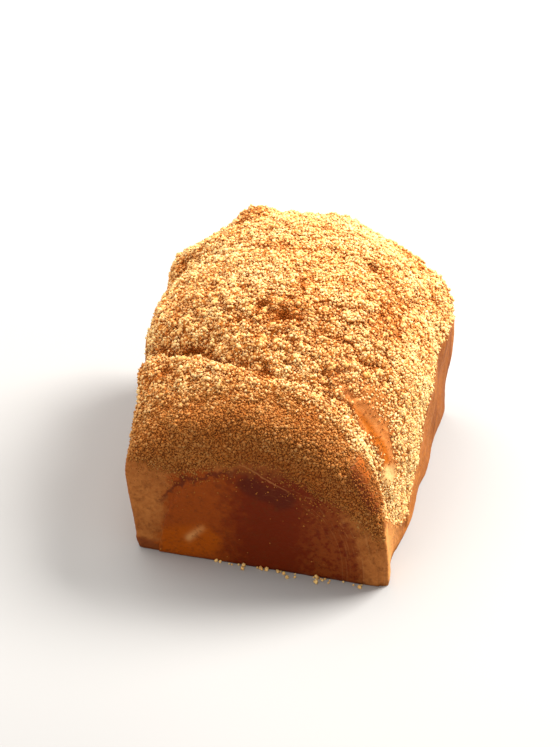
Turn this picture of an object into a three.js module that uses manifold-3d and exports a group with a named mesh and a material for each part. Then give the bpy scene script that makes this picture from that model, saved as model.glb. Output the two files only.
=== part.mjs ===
// A tin-baked sandwich loaf of sweet white bread with a crumble topping.
// It is one solid: the browned bread with the larger clumps of crumble baked onto it.
//
// Millimetres, +Z up. The origin is under the middle of the loaf's box, on the surface that it
// stands on. +X is the loaf's right seen from its near end, and +Y runs to its far end.
// While the form is worked out, X is measured from the middle of the base instead, and Y from
// the foot of the near end.

import * as THREE from "three";
import { mergeVertices } from "three/addons/utils/BufferGeometryUtils.js";
import Module from "manifold-3d";

// Driving dimensions
const BASE_WIDTH = 100;
const BASE_LENGTH = 129;
const CORNER_ROUND = 3; // rounding of the upright edges in the tin's corners
const FOOT_ROUND = 2.5; // rounding of the lower edge
const GROUND_DEPTH = 20;
const FOOT_DEPTH = 0.6; // the rounding starts this far below the cut that makes the flat base
const NEAR_BROW_ROUND = 12; // rounding where the near end turns into the top
const BROW_ROUND = 8; // the same at the other walls, from BROW_CHANGE_END on
const BROW_CHANGE_END = 40;
const NEAR_LEAN = 7; // degrees that the near end leans out
const FAR_LEAN = 6.5; // degrees that the far end leans out

// The cross-section changes from the near end to the middle, as the dough rose higher there.
const NEAR_SECTION = {
  crest: 69, // height of the top over the middle line
  leftShoulder: 45, // height where the left wall meets the top
  rightShoulder: 32,
  leftReach: 60, // half width at WALL_GAUGE_HEIGHT
  rightReach: 47.5,
  archPower: 2.3, // 2 is a parabola, and more is a flatter top
};
const MIDDLE_SECTION = {
  crest: 91,
  leftShoulder: 60,
  rightShoulder: 60,
  leftReach: 64,
  rightReach: 51,
  archPower: 2.4,
};
const RISE_START = -6; // where the section starts to change, from the near end
const RISE_END = 66;
const WALL_GAUGE_HEIGHT = 58;
const WALL_LIFT_LIMIT = 1.15; // the walls stand upright above this share of the gauge height
const CREST_OFFSET = -8; // the crest lies to the left of the middle line
const CREST_OFFSET_END = 60; // distance from the middle line where the offset has died out
const FAR_DROP = 8; // the far end is lower than the middle by this
const FAR_DROP_START = 103;
const FAR_DROP_END = 139;
const SHOULDER_DROP_SHARE = 0.6; // share of the far drop that the shoulders take
const SHOULDER_BLEND = 22; // how soon the left shoulder's height passes into the right's
const TOP_STEEPNESS = 0.72; // turns a height over the arched top into a distance from it

// Valleys between the three coils of dough, across the top. Each line bends along the length.
const VALLEYS = [
  { start: 23, leftBend: 19, rightBend: 14, depth: 1.7, sideDepth: 3, width: 5 },
  { start: 92, leftBend: 4, rightBend: -4, depth: 0.8, sideDepth: 1.2, width: 7 },
];
const BEND_START_RIGHT = 20;
const VALLEY_SIDE_DENT = 0.45; // share of a valley's depth by which it draws in the wall beside it

// The right wall draws in where the first coil meets the second.
const WAIST = { middle: 18, width: 13, depth: 3.8 };

// Single lumps and dents along the far brow and the left shoulder
const LUMPS = [
  { x: -36, y: 131, height: 3.6, radius: 8 },
  { x: -52, y: 131, height: -5, radius: 10 },
  { x: -60, y: 106, height: 3, radius: 12 },
  { x: -23, y: 133, height: -1.6, radius: 7.5 },
  { x: 20, y: 133, height: -2.2, radius: 12 },
];

// The end of the first coil shows on the near end as an arch, which the tin pressed flat and
// brown. It is steep at the left and slopes away to the right. The dough round it didn't reach
// the tin and lies a little further back.
const ARCH_HEIGHT = 47;
const ARCH_LEFT = { reach: 41, power: 4 };
const ARCH_RIGHT = { reach: 46, power: 1.5 };
const ARCH_ROUNDNESS = 0.5;
const ARCH_SETBACK = 1;
const ARCH_EDGE = 5; // width of the soft edge round the arch

// Slow unevenness of the dough, as waves along each axis
const UNEVEN_HEIGHT = 0.7;
const UNEVEN_LENGTH = { x: 31, y: 39, z: 34 };
const UNEVEN_START = { x: 1.3, z: 0.4 }; // radians

// Mesh of the bread: rays from its heart through the squares of a box
const HEART = new THREE.Vector3(0, BASE_LENGTH / 2, 30);
const RAY_BOX = new THREE.Vector3(BASE_WIDTH / 2, BASE_LENGTH / 2, 30); // half sizes
const RAY_SQUARES = { x: 23, y: 29, z: 14 };
const TOP_RAYS = new THREE.Vector3(1.3 * BASE_WIDTH, 1.2 * BASE_LENGTH, 96); // random rays at the top
const RAY_REACH = 140;
const RAY_HALVINGS = 30;
const NORMAL_STEP = 0.6;
const RELIEF = 0.75; // most that a corner of the mesh rises or dips in the crumble

// Crumble clumps
const CRUMB_SEED = 20417;
const CRUMB_COUNT = 170;
const CRUMB_TRIES = 20000;
const LARGEST_CRUMB = 6.4; // across
const SMALLEST_CRUMB = 4;
const CRUMB_SPACING = 8.2; // least distance between two clumps' middles
const CRUMB_SINK = 0.21; // depth of a crumb's centre under the crust, as a share of its size
const CRUMB_UNEVENNESS = 0.2;
const CRUMB_STRETCH = 0.25; // most that a clump is longer than it is wide
const CRUMB_FLATNESS = 0.9;
const BARE_SLOPE = 0.3; // steeper crust than this, as the normal's upright part, holds no clumps
const COVERED_SLOPE = 0.55; // flatter crust than this is covered
const THINNEST_COVER = 0.3;

// The bare strip of glossy crust follows the right half of the first valley.
const BARE_STRIP_START = new THREE.Vector2(18, 30);
const BARE_STRIP_END = new THREE.Vector2(46, 11);
const BARE_STRIP_HALF_WIDTH = 2.5;

const CRUST = { color: 0xb9703a, roughness: 0.75, metalness: 0 };

const UP = new THREE.Vector3(0, 0, 1);

const wasm = await Module();
wasm.setup();

function seededRandom(seed) {
  let state = seed;
  return () => {
    state = (state + 0x6d2b79f5) | 0;
    let mixed = Math.imul(state ^ (state >>> 15), 1 | state);
    mixed = (mixed + Math.imul(mixed ^ (mixed >>> 7), 61 | mixed)) ^ mixed;
    return ((mixed ^ (mixed >>> 14)) >>> 0) / 4294967296;
  };
}

// The greater of two distances, with the edge between the two surfaces rounded.
function roundedMax(a, b, rounding) {
  const share = THREE.MathUtils.clamp(0.5 + (0.5 * (a - b)) / rounding, 0, 1);
  return THREE.MathUtils.lerp(b, a, share) + rounding * share * (1 - share);
}

function valleyDepth(x, y) {
  let depth = 0;
  for (const valley of VALLEYS) {
    const left = Math.max(0, (-2 * x) / BASE_WIDTH);
    const right = Math.max(0, (x - BEND_START_RIGHT) / (BASE_WIDTH / 2 - BEND_START_RIGHT));
    const line = valley.start + valley.leftBend * left ** 2 - valley.rightBend * right ** 2;
    const side = Math.min(1, (2 * Math.abs(x)) / BASE_WIDTH);
    const profile = Math.exp(-(((y - line) / valley.width) ** 2));
    depth += profile * (valley.depth + valley.sideDepth * side ** 2);
  }
  return depth;
}

function lumpHeight(x, y) {
  let height = 0;
  for (const lump of LUMPS) {
    const away = Math.hypot(x - lump.x, y - lump.y) / lump.radius;
    height += lump.height * Math.exp(-(away ** 2));
  }
  return height;
}

// 1 inside the coil's arch on the near end, 0 outside it
function archMask(x, z) {
  const { reach, power } = x < 0 ? ARCH_LEFT : ARCH_RIGHT;
  const across = Math.abs(x) / reach;
  const rim = ARCH_HEIGHT * Math.max(0, 1 - across ** power) ** ARCH_ROUNDNESS;
  return THREE.MathUtils.smoothstep(rim - z, -ARCH_EDGE / 2, ARCH_EDGE / 2);
}

function unevenness(x, y, z) {
  const phase = (axis, place) => (2 * Math.PI * place) / UNEVEN_LENGTH[axis];
  const across = Math.sin(phase("x", x) + UNEVEN_START.x);
  return UNEVEN_HEIGHT * across * Math.sin(phase("y", y)) * Math.cos(phase("z", z) + UNEVEN_START.z);
}

// Distance outside a wall that leans out, from the distance past its foot
function pastLeaningWall(pastFoot, z, leanDegrees) {
  const lean = THREE.MathUtils.degToRad(leanDegrees);
  return pastFoot * Math.cos(lean) - z * Math.sin(lean);
}

// Distance outside the bread's surface (negative inside), true enough near the surface
function breadDistance({ x, y, z }) {
  const risen = THREE.MathUtils.smoothstep(y, RISE_START, RISE_END);
  const section = (name) => THREE.MathUtils.lerp(NEAR_SECTION[name], MIDDLE_SECTION[name], risen);
  const toRight = 0.5 + 0.5 * Math.tanh(x / SHOULDER_BLEND);
  const leftToRight = (left, right) => THREE.MathUtils.lerp(section(left), section(right), toRight);
  const drop = FAR_DROP * THREE.MathUtils.smoothstep(y, FAR_DROP_START, FAR_DROP_END);
  const crest = section("crest") - drop;
  const shoulder = leftToRight("leftShoulder", "rightShoulder") - SHOULDER_DROP_SHARE * drop;
  const valley = valleyDepth(x, y);
  const waist = WAIST.depth * Math.exp(-(((y - WAIST.middle) / WAIST.width) ** 2)) * toRight;

  const reach = leftToRight("leftReach", "rightReach") - VALLEY_SIDE_DENT * valley;
  const offset = CREST_OFFSET * (1 - Math.abs(x) / CREST_OFFSET_END);
  const fromCrest = Math.abs(x - offset) / reach;
  const arch = 1 - fromCrest ** section("archPower");
  const top = shoulder + (crest - shoulder) * arch - valley + lumpHeight(x, y);
  const overTop = (z - top) * TOP_STEEPNESS;

  const lift = THREE.MathUtils.clamp(z / WALL_GAUGE_HEIGHT, 0, WALL_LIFT_LIMIT);
  const halfWidth = THREE.MathUtils.lerp(BASE_WIDTH / 2, reach, lift);
  const pastSides = Math.abs(x) - halfWidth + waist;
  const setback = ARCH_SETBACK * (1 - archMask(x, z));
  const pastNear = pastLeaningWall(-y, z, NEAR_LEAN) + setback;
  const pastFar = pastLeaningWall(y - BASE_LENGTH, z, FAR_LEAN);
  const pastWalls = roundedMax(pastSides, Math.max(pastNear, pastFar), CORNER_ROUND);

  const browChange = THREE.MathUtils.smoothstep(y, 0, BROW_CHANGE_END);
  const browRound = THREE.MathUtils.lerp(NEAR_BROW_ROUND, BROW_ROUND, browChange);
  const rounded = roundedMax(pastWalls, overTop, browRound) + unevenness(x, y, z);
  return roundedMax(rounded, -z - FOOT_DEPTH, FOOT_ROUND);
}

// Where a ray from the heart leaves the bread
function crustPoint(direction) {
  const point = new THREE.Vector3();
  let inside = 0;
  let outside = RAY_REACH;
  for (let halving = 0; halving < RAY_HALVINGS; halving += 1) {
    const middle = (inside + outside) / 2;
    point.copy(HEART).addScaledVector(direction, middle);
    if (breadDistance(point) < 0) inside = middle;
    else outside = middle;
  }
  return point;
}

function crustNormal(point) {
  const step = NORMAL_STEP;
  const slope = (axis) => {
    const ahead = point.clone();
    const behind = point.clone();
    ahead[axis] += step;
    behind[axis] -= step;
    return breadDistance(ahead) - breadDistance(behind);
  };
  return new THREE.Vector3(slope("x"), slope("y"), slope("z")).normalize();
}

// The whole bread, with a rough skin where the crumble lies
function breadGeometry(random) {
  const { x, y, z } = RAY_BOX;
  const { x: across, y: along, z: up } = RAY_SQUARES;
  const geometry = mergedByPosition(new THREE.BoxGeometry(2 * x, 2 * y, 2 * z, across, along, up));
  const positions = geometry.attributes.position;
  const direction = new THREE.Vector3();
  for (let index = 0; index < positions.count; index += 1) {
    direction.fromBufferAttribute(positions, index).normalize();
    const point = crustPoint(direction);
    const normal = crustNormal(point);
    const rise = RELIEF * (2 * random() - 1) * toppingCover(point, normal);
    point.addScaledVector(normal, rise);
    positions.setXYZ(index, point.x, point.y, point.z);
  }
  return geometry;
}

// All that lies below the surface that the loaf stands on
function groundGeometry() {
  const ground = new THREE.BoxGeometry(2 * BASE_WIDTH, 2 * BASE_LENGTH, GROUND_DEPTH);
  ground.translate(0, BASE_LENGTH / 2, -GROUND_DEPTH / 2);
  return ground;
}

// An uneven clump of crumble, a little flattened against the crust
function crumbGeometry(size, point, normal, random) {
  const geometry = mergedByPosition(new THREE.IcosahedronGeometry(size / 2, 0));
  const positions = geometry.attributes.position;
  const corner = new THREE.Vector3();
  const turn = new THREE.Quaternion().setFromUnitVectors(UP, normal);
  const spin = new THREE.Quaternion().setFromAxisAngle(UP, random() * 2 * Math.PI);
  const longer = 1 + CRUMB_STRETCH * random();
  for (let index = 0; index < positions.count; index += 1) {
    corner.fromBufferAttribute(positions, index);
    corner.multiplyScalar(1 + CRUMB_UNEVENNESS * (random() - 0.5));
    corner.set(corner.x * longer, corner.y / longer, corner.z * CRUMB_FLATNESS);
    corner.applyQuaternion(spin).applyQuaternion(turn);
    corner.add(point).addScaledVector(normal, -CRUMB_SINK * size);
    positions.setXYZ(index, corner.x, corner.y, corner.z);
  }
  return geometry;
}

// How much of the crust the clumps cover: 1 over the top, 0 on the walls and the bare strip
function toppingCover(point, normal) {
  const slope = THREE.MathUtils.smoothstep(normal.z, BARE_SLOPE, COVERED_SLOPE);
  const strip = distanceToBareStrip(point.x, point.y);
  return slope * THREE.MathUtils.smoothstep(strip, BARE_STRIP_HALF_WIDTH, 2 * BARE_STRIP_HALF_WIDTH);
}

function distanceToBareStrip(x, y) {
  const along = BARE_STRIP_END.clone().sub(BARE_STRIP_START);
  const from = new THREE.Vector2(x, y).sub(BARE_STRIP_START);
  const share = THREE.MathUtils.clamp(from.dot(along) / along.lengthSq(), 0, 1);
  return from.addScaledVector(along, -share).length();
}

// Clumps of crumble spread evenly over the top, the largest first
function crumbGeometries(random) {
  const placed = [];
  for (let attempt = 0; attempt < CRUMB_TRIES && placed.length < CRUMB_COUNT; attempt += 1) {
    const share = placed.length / CRUMB_COUNT;
    const size = THREE.MathUtils.lerp(LARGEST_CRUMB, SMALLEST_CRUMB, share ** 0.5);
    const direction = new THREE.Vector3(random() - 0.5, random() - 0.5, random() / 2);
    const point = crustPoint(direction.multiply(TOP_RAYS).normalize());
    const normal = crustNormal(point);
    if (toppingCover(point, normal) < THREE.MathUtils.lerp(THINNEST_COVER, 1, random())) continue;
    if (placed.some((other) => other.point.distanceTo(point) < CRUMB_SPACING)) continue;
    placed.push({ point, geometry: crumbGeometry(size, point, normal, random) });
  }
  return placed.map((crumb) => crumb.geometry);
}

function mergedByPosition(geometry) {
  geometry.deleteAttribute("normal");
  geometry.deleteAttribute("uv");
  return mergeVertices(geometry);
}

function solid(geometry) {
  const merged = mergedByPosition(geometry);
  return new wasm.Manifold(
    new wasm.Mesh({
      numProp: 3,
      vertProperties: new Float32Array(merged.attributes.position.array),
      triVerts: new Uint32Array(merged.index.array),
    }),
  );
}

// The largest connected body, without sealed hollows or loose scraps
function mainBody(joined) {
  const bodies = joined.decompose();
  return bodies.reduce((largest, body) => (body.volume() > largest.volume() ? body : largest));
}

function geometryOf(body) {
  const { vertProperties, triVerts } = body.getMesh();
  const geometry = new THREE.BufferGeometry();
  geometry.setAttribute("position", new THREE.BufferAttribute(vertProperties, 3));
  geometry.setIndex(new THREE.BufferAttribute(triVerts, 1));
  return geometry;
}

function loafGeometry() {
  const random = seededRandom(CRUMB_SEED);
  let joined = solid(breadGeometry(random)).subtract(solid(groundGeometry()));
  for (const crumb of crumbGeometries(random)) joined = joined.add(solid(crumb));
  const geometry = geometryOf(mainBody(joined));
  geometry.computeBoundingBox();
  const middle = geometry.boundingBox.getCenter(new THREE.Vector3());
  geometry.translate(-middle.x, -middle.y, 0);
  geometry.computeVertexNormals();
  return geometry;
}

const loaf = new THREE.Mesh(loafGeometry(), new THREE.MeshStandardMaterial(CRUST));
loaf.name = "loaf";

const part = new THREE.Group();
part.add(loaf);
export default part;
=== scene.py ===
"""A tin-baked sandwich loaf of sweet white bread with a baked crumble topping.

The form is worked out in millimetres from the loaf's own sizes, with X from the middle of the
base and Y from the foot of the near end. It is moved into the frame and turned into metres last.
"""
import math

import bmesh
import bpy
import numpy as np
from mathutils import Matrix


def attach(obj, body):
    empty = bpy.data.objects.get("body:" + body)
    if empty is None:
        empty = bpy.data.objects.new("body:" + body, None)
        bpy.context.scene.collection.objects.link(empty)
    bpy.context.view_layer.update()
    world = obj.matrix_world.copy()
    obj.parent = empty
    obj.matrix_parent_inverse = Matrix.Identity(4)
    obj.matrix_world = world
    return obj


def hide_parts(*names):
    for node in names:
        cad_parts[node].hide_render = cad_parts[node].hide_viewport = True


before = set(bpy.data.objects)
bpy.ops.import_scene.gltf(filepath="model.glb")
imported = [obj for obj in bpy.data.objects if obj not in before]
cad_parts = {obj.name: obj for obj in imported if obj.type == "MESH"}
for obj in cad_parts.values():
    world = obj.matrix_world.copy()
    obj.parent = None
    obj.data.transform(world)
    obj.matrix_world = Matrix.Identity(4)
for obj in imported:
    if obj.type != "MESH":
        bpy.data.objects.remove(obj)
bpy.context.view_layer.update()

MM = 0.001
FORM_MIDDLE = np.array([-5.715, 65.705, 0.0])  # middle of the loaf's box, in the form's millimetres

# ---------------------------------------------------------------- sizes of the bread (mm)

BASE_WIDTH = 100
BASE_LENGTH = 129
CORNER_ROUND = 3
FOOT_ROUND = 2.5
FOOT_DEPTH = 0.6
NEAR_BROW_ROUND = 12
BROW_ROUND = 8
BROW_CHANGE_END = 40
NEAR_LEAN = math.radians(7)
FAR_LEAN = math.radians(6.5)

# Each size of the cross-section: at the near end, and from the middle on
SECTION = {
    "crest": (69, 91),
    "left_shoulder": (45, 60),
    "right_shoulder": (32, 60),
    "left_reach": (60, 64),
    "right_reach": (47.5, 51),
    "arch_power": (2.3, 2.4),
}
RISE = (-6, 66)
WALL_GAUGE_HEIGHT = 58
WALL_LIFT_LIMIT = 1.15
CREST_OFFSET = -8
CREST_OFFSET_END = 60
FAR_DROP = 8
FAR_DROP_RUN = (103, 139)
SHOULDER_DROP_SHARE = 0.6
SHOULDER_BLEND = 22
TOP_STEEPNESS = 0.72

# Valleys between the coils: start, left bend, right bend, depth, depth at the sides, width
VALLEYS = (
    (23, 19, 14, 1.7, 3, 5),
    (92, 4, -4, 0.8, 1.2, 7),
)
BEND_START_RIGHT = 20
VALLEY_SIDE_DENT = 0.45
WAIST_MIDDLE, WAIST_WIDTH, WAIST_DEPTH = 18, 13, 2.8

# Single lumps and dents: x, y, height, radius
LUMPS = (
    (-36, 131, 3.6, 8),
    (-52, 131, -5, 10),
    (-60, 106, 3, 12),
    (-23, 133, -1.6, 7.5),
    (20, 133, -2.2, 12),
)

ARCH_HEIGHT = 47
ARCH_LEFT_REACH, ARCH_LEFT_POWER = 41, 4
ARCH_RIGHT_REACH, ARCH_RIGHT_POWER = 46, 1.5
ARCH_ROUNDNESS = 0.5
ARCH_SETBACK = 1
ARCH_EDGE = 5
STAIN_LEFT_POWER = 12  # the dark stain's left shoulder is squarer than the arch itself
STAIN_RIGHT_REACH, STAIN_RIGHT_POWER = 39.5, 2.6  # and it stops short of the right corner
LEAST_STAIN_SLOPE = 0.02

UNEVEN_HEIGHT = 0.7
UNEVEN_LENGTH = (31, 39, 34)
UNEVEN_START = (1.3, 0.0, 0.4)

HEART = np.array([0, BASE_LENGTH / 2, 30])
RAY_BOX = np.array([BASE_WIDTH / 2, BASE_LENGTH / 2, 30])
RAY_REACH = 140
RAY_HALVINGS = 19
SKIN_SQUARES = (160, 200, 64)

# ---------------------------------------------------------------- helpers for numbers


def smooth_step(value, start, end):
    """0 below start, 1 above end, and a soft rise between them."""
    share = np.clip((value - start) / (end - start), 0, 1)
    return share * share * (3 - 2 * share)


def hill(value, middle, width):
    """1 at the middle, falling off softly on both sides."""
    return np.exp(-(((value - middle) / width) ** 2))


def mix(a, b, share):
    return a + (b - a) * share


def rounded_max(a, b, rounding):
    """The greater of two distances, with the edge between the two surfaces rounded."""
    share = np.clip(0.5 + 0.5 * (a - b) / rounding, 0, 1)
    return mix(b, a, share) + rounding * share * (1 - share)


def cell_random(cells, seed, channel=0):
    """An even random number from 0 to 1 for each whole-number cell."""
    mixed = cells[..., 0] * 73856093 ^ cells[..., 1] * 19349663 ^ cells[..., 2] * 83492791
    mixed = (mixed ^ (seed * 668265263 + channel * 374761393)) & 0xFFFFFFFF
    mixed = ((mixed ^ (mixed >> 15)) * 2246822519) & 0xFFFFFFFF
    mixed = ((mixed ^ (mixed >> 13)) * 3266489917) & 0xFFFFFFFF
    mixed = mixed ^ (mixed >> 16)
    return mixed / 0xFFFFFFFF


def soft_noise(points, size, seed):
    """Smooth noise from -1 to 1 whose hills are about size apart."""
    place = points / size
    low = np.floor(place).astype(np.int64)
    part = place - low
    part = part * part * (3 - 2 * part)
    total = np.zeros(len(points))
    for corner in np.ndindex(2, 2, 2):
        corner = np.array(corner)
        weight = np.prod(np.where(corner == 1, part, 1 - part), axis=1)
        total += weight * cell_random(low + corner, seed)
    return 2 * total - 1


def scattered_cells(points, size, seed):
    """Distance to the nearest of scattered seeds, to the border with its neighbour, and its number.

    Both distances are shares of size.
    """
    place = points / size
    low = np.floor(place).astype(np.int64)
    nearest = np.full(len(points), np.inf)
    second = nearest.copy()
    number = np.zeros(len(points))
    for offset in np.ndindex(3, 3, 3):
        cell = low + np.array(offset) - 1
        spot = cell + np.stack([cell_random(cell, seed, axis) for axis in (1, 2, 3)], axis=1)
        distance = np.linalg.norm(place - spot, axis=1)
        second = np.minimum(second, np.maximum(nearest, distance))
        closer = distance < nearest
        nearest = np.where(closer, distance, nearest)
        number = np.where(closer, cell_random(cell, seed, 4), number)
    return nearest, (second - nearest) / 2, number


# ---------------------------------------------------------------- form of the bread


def section_at(name, y):
    near, middle = SECTION[name]
    return mix(near, middle, smooth_step(y, *RISE))


def valley_line(x, start, left_bend, right_bend):
    """Place along the loaf where a valley crosses it."""
    left = np.maximum(0, -2 * x / BASE_WIDTH)
    right = np.maximum(0, (x - BEND_START_RIGHT) / (BASE_WIDTH / 2 - BEND_START_RIGHT))
    return start + left_bend * left**2 - right_bend * right**2


def valley_depth(x, y):
    depth = np.zeros_like(x)
    side = np.minimum(1, 2 * np.abs(x) / BASE_WIDTH)
    for start, left_bend, right_bend, middle_depth, side_depth, width in VALLEYS:
        line = valley_line(x, start, left_bend, right_bend)
        depth += hill(y, line, width) * (middle_depth + side_depth * side**2)
    return depth


def lump_height(x, y):
    height = np.zeros_like(x)
    for lump_x, lump_y, lump, radius in LUMPS:
        height += lump * hill(np.hypot(x - lump_x, y - lump_y), 0, radius)
    return height


def above_arch_rim(x, z):
    """Height over the rim of the near end's flat arch, negative inside the arch."""
    reach = np.where(x < 0, ARCH_LEFT_REACH, ARCH_RIGHT_REACH)
    power = np.where(x < 0, ARCH_LEFT_POWER, ARCH_RIGHT_POWER)
    across = np.abs(x) / reach
    return z - ARCH_HEIGHT * np.maximum(0, 1 - across**power) ** ARCH_ROUNDNESS


def outside_arch(x, z):
    """Distance outside the arch's stain across the near end, negative inside."""
    reach = np.where(x < 0, ARCH_LEFT_REACH, STAIN_RIGHT_REACH)
    power = np.where(x < 0, STAIN_LEFT_POWER, STAIN_RIGHT_POWER)
    across, up = np.maximum(np.abs(x), 1) / reach, z / ARCH_HEIGHT
    field = across**power + up ** (1 / ARCH_ROUNDNESS) - 1
    slope = np.hypot(power / reach * across ** (power - 1), 2 * up / ARCH_HEIGHT)
    return field / np.maximum(slope, LEAST_STAIN_SLOPE)


def arch_mask(x, z):
    return 1 - smooth_step(above_arch_rim(x, z), -ARCH_EDGE / 2, ARCH_EDGE / 2)


def unevenness(x, y, z):
    phases = [2 * math.pi * place / length for place, length in zip((x, y, z), UNEVEN_LENGTH)]
    across = np.sin(phases[0] + UNEVEN_START[0])
    return UNEVEN_HEIGHT * across * np.sin(phases[1]) * np.cos(phases[2] + UNEVEN_START[2])


def left_to_right(x, y, left, right):
    share = 0.5 + 0.5 * np.tanh(x / SHOULDER_BLEND)
    return mix(section_at(left, y), section_at(right, y), share)


def wall_reach(x, y):
    """Half width of the loaf at the gauge height."""
    return left_to_right(x, y, "left_reach", "right_reach") - VALLEY_SIDE_DENT * valley_depth(x, y)


def shoulder_height(x, y):
    drop = FAR_DROP * smooth_step(y, *FAR_DROP_RUN)
    return left_to_right(x, y, "left_shoulder", "right_shoulder") - SHOULDER_DROP_SHARE * drop


def top_height(x, y):
    """Height of the arched top, before its brow is rounded."""
    crest = section_at("crest", y) - FAR_DROP * smooth_step(y, *FAR_DROP_RUN)
    shoulder = shoulder_height(x, y)
    offset = CREST_OFFSET * (1 - np.abs(x) / CREST_OFFSET_END)
    from_crest = np.abs(x - offset) / wall_reach(x, y)
    arch = 1 - from_crest ** section_at("arch_power", y)
    return shoulder + (crest - shoulder) * arch - valley_depth(x, y) + lump_height(x, y)


def bread_distance(points):
    """Distance outside the bread's surface, negative inside."""
    x, y, z = points[:, 0], points[:, 1], points[:, 2]
    over_top = (z - top_height(x, y)) * TOP_STEEPNESS

    to_right = 0.5 + 0.5 * np.tanh(x / SHOULDER_BLEND)
    waist = WAIST_DEPTH * hill(y, WAIST_MIDDLE, WAIST_WIDTH) * to_right
    lift = np.clip(z / WALL_GAUGE_HEIGHT, 0, WALL_LIFT_LIMIT)
    half_width = mix(BASE_WIDTH / 2, wall_reach(x, y), lift)
    past_sides = np.abs(x) - half_width + waist

    setback = ARCH_SETBACK * (1 - arch_mask(x, z))
    past_near = -y * math.cos(NEAR_LEAN) - z * math.sin(NEAR_LEAN) + setback
    past_far = (y - BASE_LENGTH) * math.cos(FAR_LEAN) - z * math.sin(FAR_LEAN)
    past_walls = rounded_max(past_sides, np.maximum(past_near, past_far), CORNER_ROUND)

    brow = mix(NEAR_BROW_ROUND, BROW_ROUND, smooth_step(y, 0, BROW_CHANGE_END))
    rounded = rounded_max(past_walls, over_top, brow) + unevenness(x, y, z)
    return rounded_max(rounded, -z - FOOT_DEPTH, FOOT_ROUND)


def surface_points(directions):
    """Where rays from the heart leave the bread."""
    inside = np.zeros(len(directions))
    outside = np.full(len(directions), float(RAY_REACH))
    for _ in range(RAY_HALVINGS):
        middle = (inside + outside) / 2
        is_inside = bread_distance(HEART + directions * middle[:, None]) < 0
        inside = np.where(is_inside, middle, inside)
        outside = np.where(is_inside, outside, middle)
    return HEART + directions * inside[:, None]


def surface_normals(points, step=0.5):
    slopes = []
    for axis in np.eye(3) * step:
        slopes.append(bread_distance(points + axis) - bread_distance(points - axis))
    normals = np.stack(slopes, axis=1)
    return normals / np.linalg.norm(normals, axis=1, keepdims=True)


# ---------------------------------------------------------------- zones of the crust (mm)

# Noise that makes edges and surfaces uneven. Each layer: its height, its size and its seed
NOISE = {
    "crumb_edge": ((1.1, 5, 11), (0.9, 2.2, 12)),
    "strip_edge": ((0.8, 3.5, 13), (0.8, 1.6, 18)),
    "rim_edge": ((0.9, 4, 14),),
    "ball_edge": ((1.2, 3, 15),),
    "brown_edge": ((2.2, 6, 16), (1.4, 2.5, 17)),
    "red_edge": ((1.5, 5, 19),),
    "pale_side_edge": ((3, 8, 20),),
    "wall_relief": ((0.24, 9, 21), (0.11, 3.2, 22), (0.05, 1.6, 23)),
    "fold_wobble": ((1.6, 9, 36), (0.8, 4, 37)),
    "fold_breaks": ((1, 7, 38),),
    "pit_edge": ((0.8, 1.8, 39),),
    "wall_crease": ((0.5, 5, 40),),
    "crust_edge": ((1.5, 6, 41), (0.7, 2.2, 42)),
    "foot_lip": ((0.8, 7, 43),),
    "stretch_marks": ((0.9, 6, 44),),
    "corner_edge": ((2, 4, 45),),
    "toast": ((0.75, 15, 51), (0.5, 6, 52)),
}

# Parts of the loaf, told apart by which way the surface faces and by where it lies
END_FACING = (0.25, 0.62)  # share of the outward direction that points along the loaf
TOP_FACING = (0.12, 0.4)  # share that points up, from a wall to the top
RIGHT_FACING = (0.5, 0.8)
SIDE_CHANGE = (-15, 15)  # x over which the left wall's crumb line gives way to the right wall's
RIGHT_WALL_X, RIGHT_WALL_Y = (40, 45), (2, 7)  # where the right wall begins

# Lower edge of the near end's fine brown crumbs: x, z
NEAR_CRUMB_LINE = (
    (-50, 43), (-34, 41.5), (-26, 44), (-19, 48), (-11, 51.6), (-3, 52.7),
    (5, 50.3), (13, 46.4), (21, 41.4), (29, 38), (36, 31), (43, 24),
)
# The crumbs turn from golden to brown over this stretch, measured back over the near brow: partly
# finer brown crumbs, partly painted shade where the brow turns away from the light
NEAR_BROWN_RUN = (-4, 25)
LEFT_BROWN_RUN, LEFT_BROWN_ACROSS = (-16, 34), (30, 46)  # more slowly at the left corner
RIGHT_BROWN_RUN, RIGHT_BROWN_ACROSS = (1, 18), (14, 34)  # and more suddenly at the right
FAR_LINE_DROP = 10.0
LEFT_LINE_DROP = 3.0  # the crumble ends this far below the shoulder on the left wall
DUST_LENGTH = 12.0  # stray fine crumbs thin out over this length below the near line

# Lower edge of the crumble on the right wall, low on the first coil, high on the second: y, z
RIGHT_LINE = (
    (0, 31), (8, 27), (22, 16), (33, 11), (40, 10), (44, 18), (50, 32), (60, 45), (68, 50),
    (108, 52), (132, 45),
)
WALL_EDGE_SOFTNESS, END_EDGE_SOFTNESS = 1.4, 3.6  # of the crumble's lower edge

# Glossy crust left bare behind the first coil: x, y, half width
BARE_STRIP = (
    (20.0, 29.5, 1.0),
    (25.5, 27.0, 1.7),
    (30.5, 25.5, 2.4),
    (35.5, 25.2, 3.0),
    (39.8, 24.3, 3.2),
    (43.5, 22.5, 2.8),
)
STRIP_COVER, STRIP_COVER_RUN = 0.06, (-1.4, 1.6)  # crumble left on it, and the run of its edge
STRIP_STAIN_RUN = (0.5, 3.5)  # distance outside it over which its colour ends
STRIP_DARK_SHIFT = np.array([0, -1.6, 0])  # its colour is deepest along its near side
STRIP_DARK_RUN = (-2.6, -0.4)
BESIDE_STRIP_SHIFT = np.array([2.0, 4.0, 0])  # the skin shows through sparse crumbs beyond it
BESIDE_STRIP_RUN = (2, 9)
SPARSE_PATCH = (36.0, 31.0)  # x and y of thin crumble beside the strip
SPARSE_COVER, SPARSE_RUN = 0.3, (4.5, 11.7)

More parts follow.
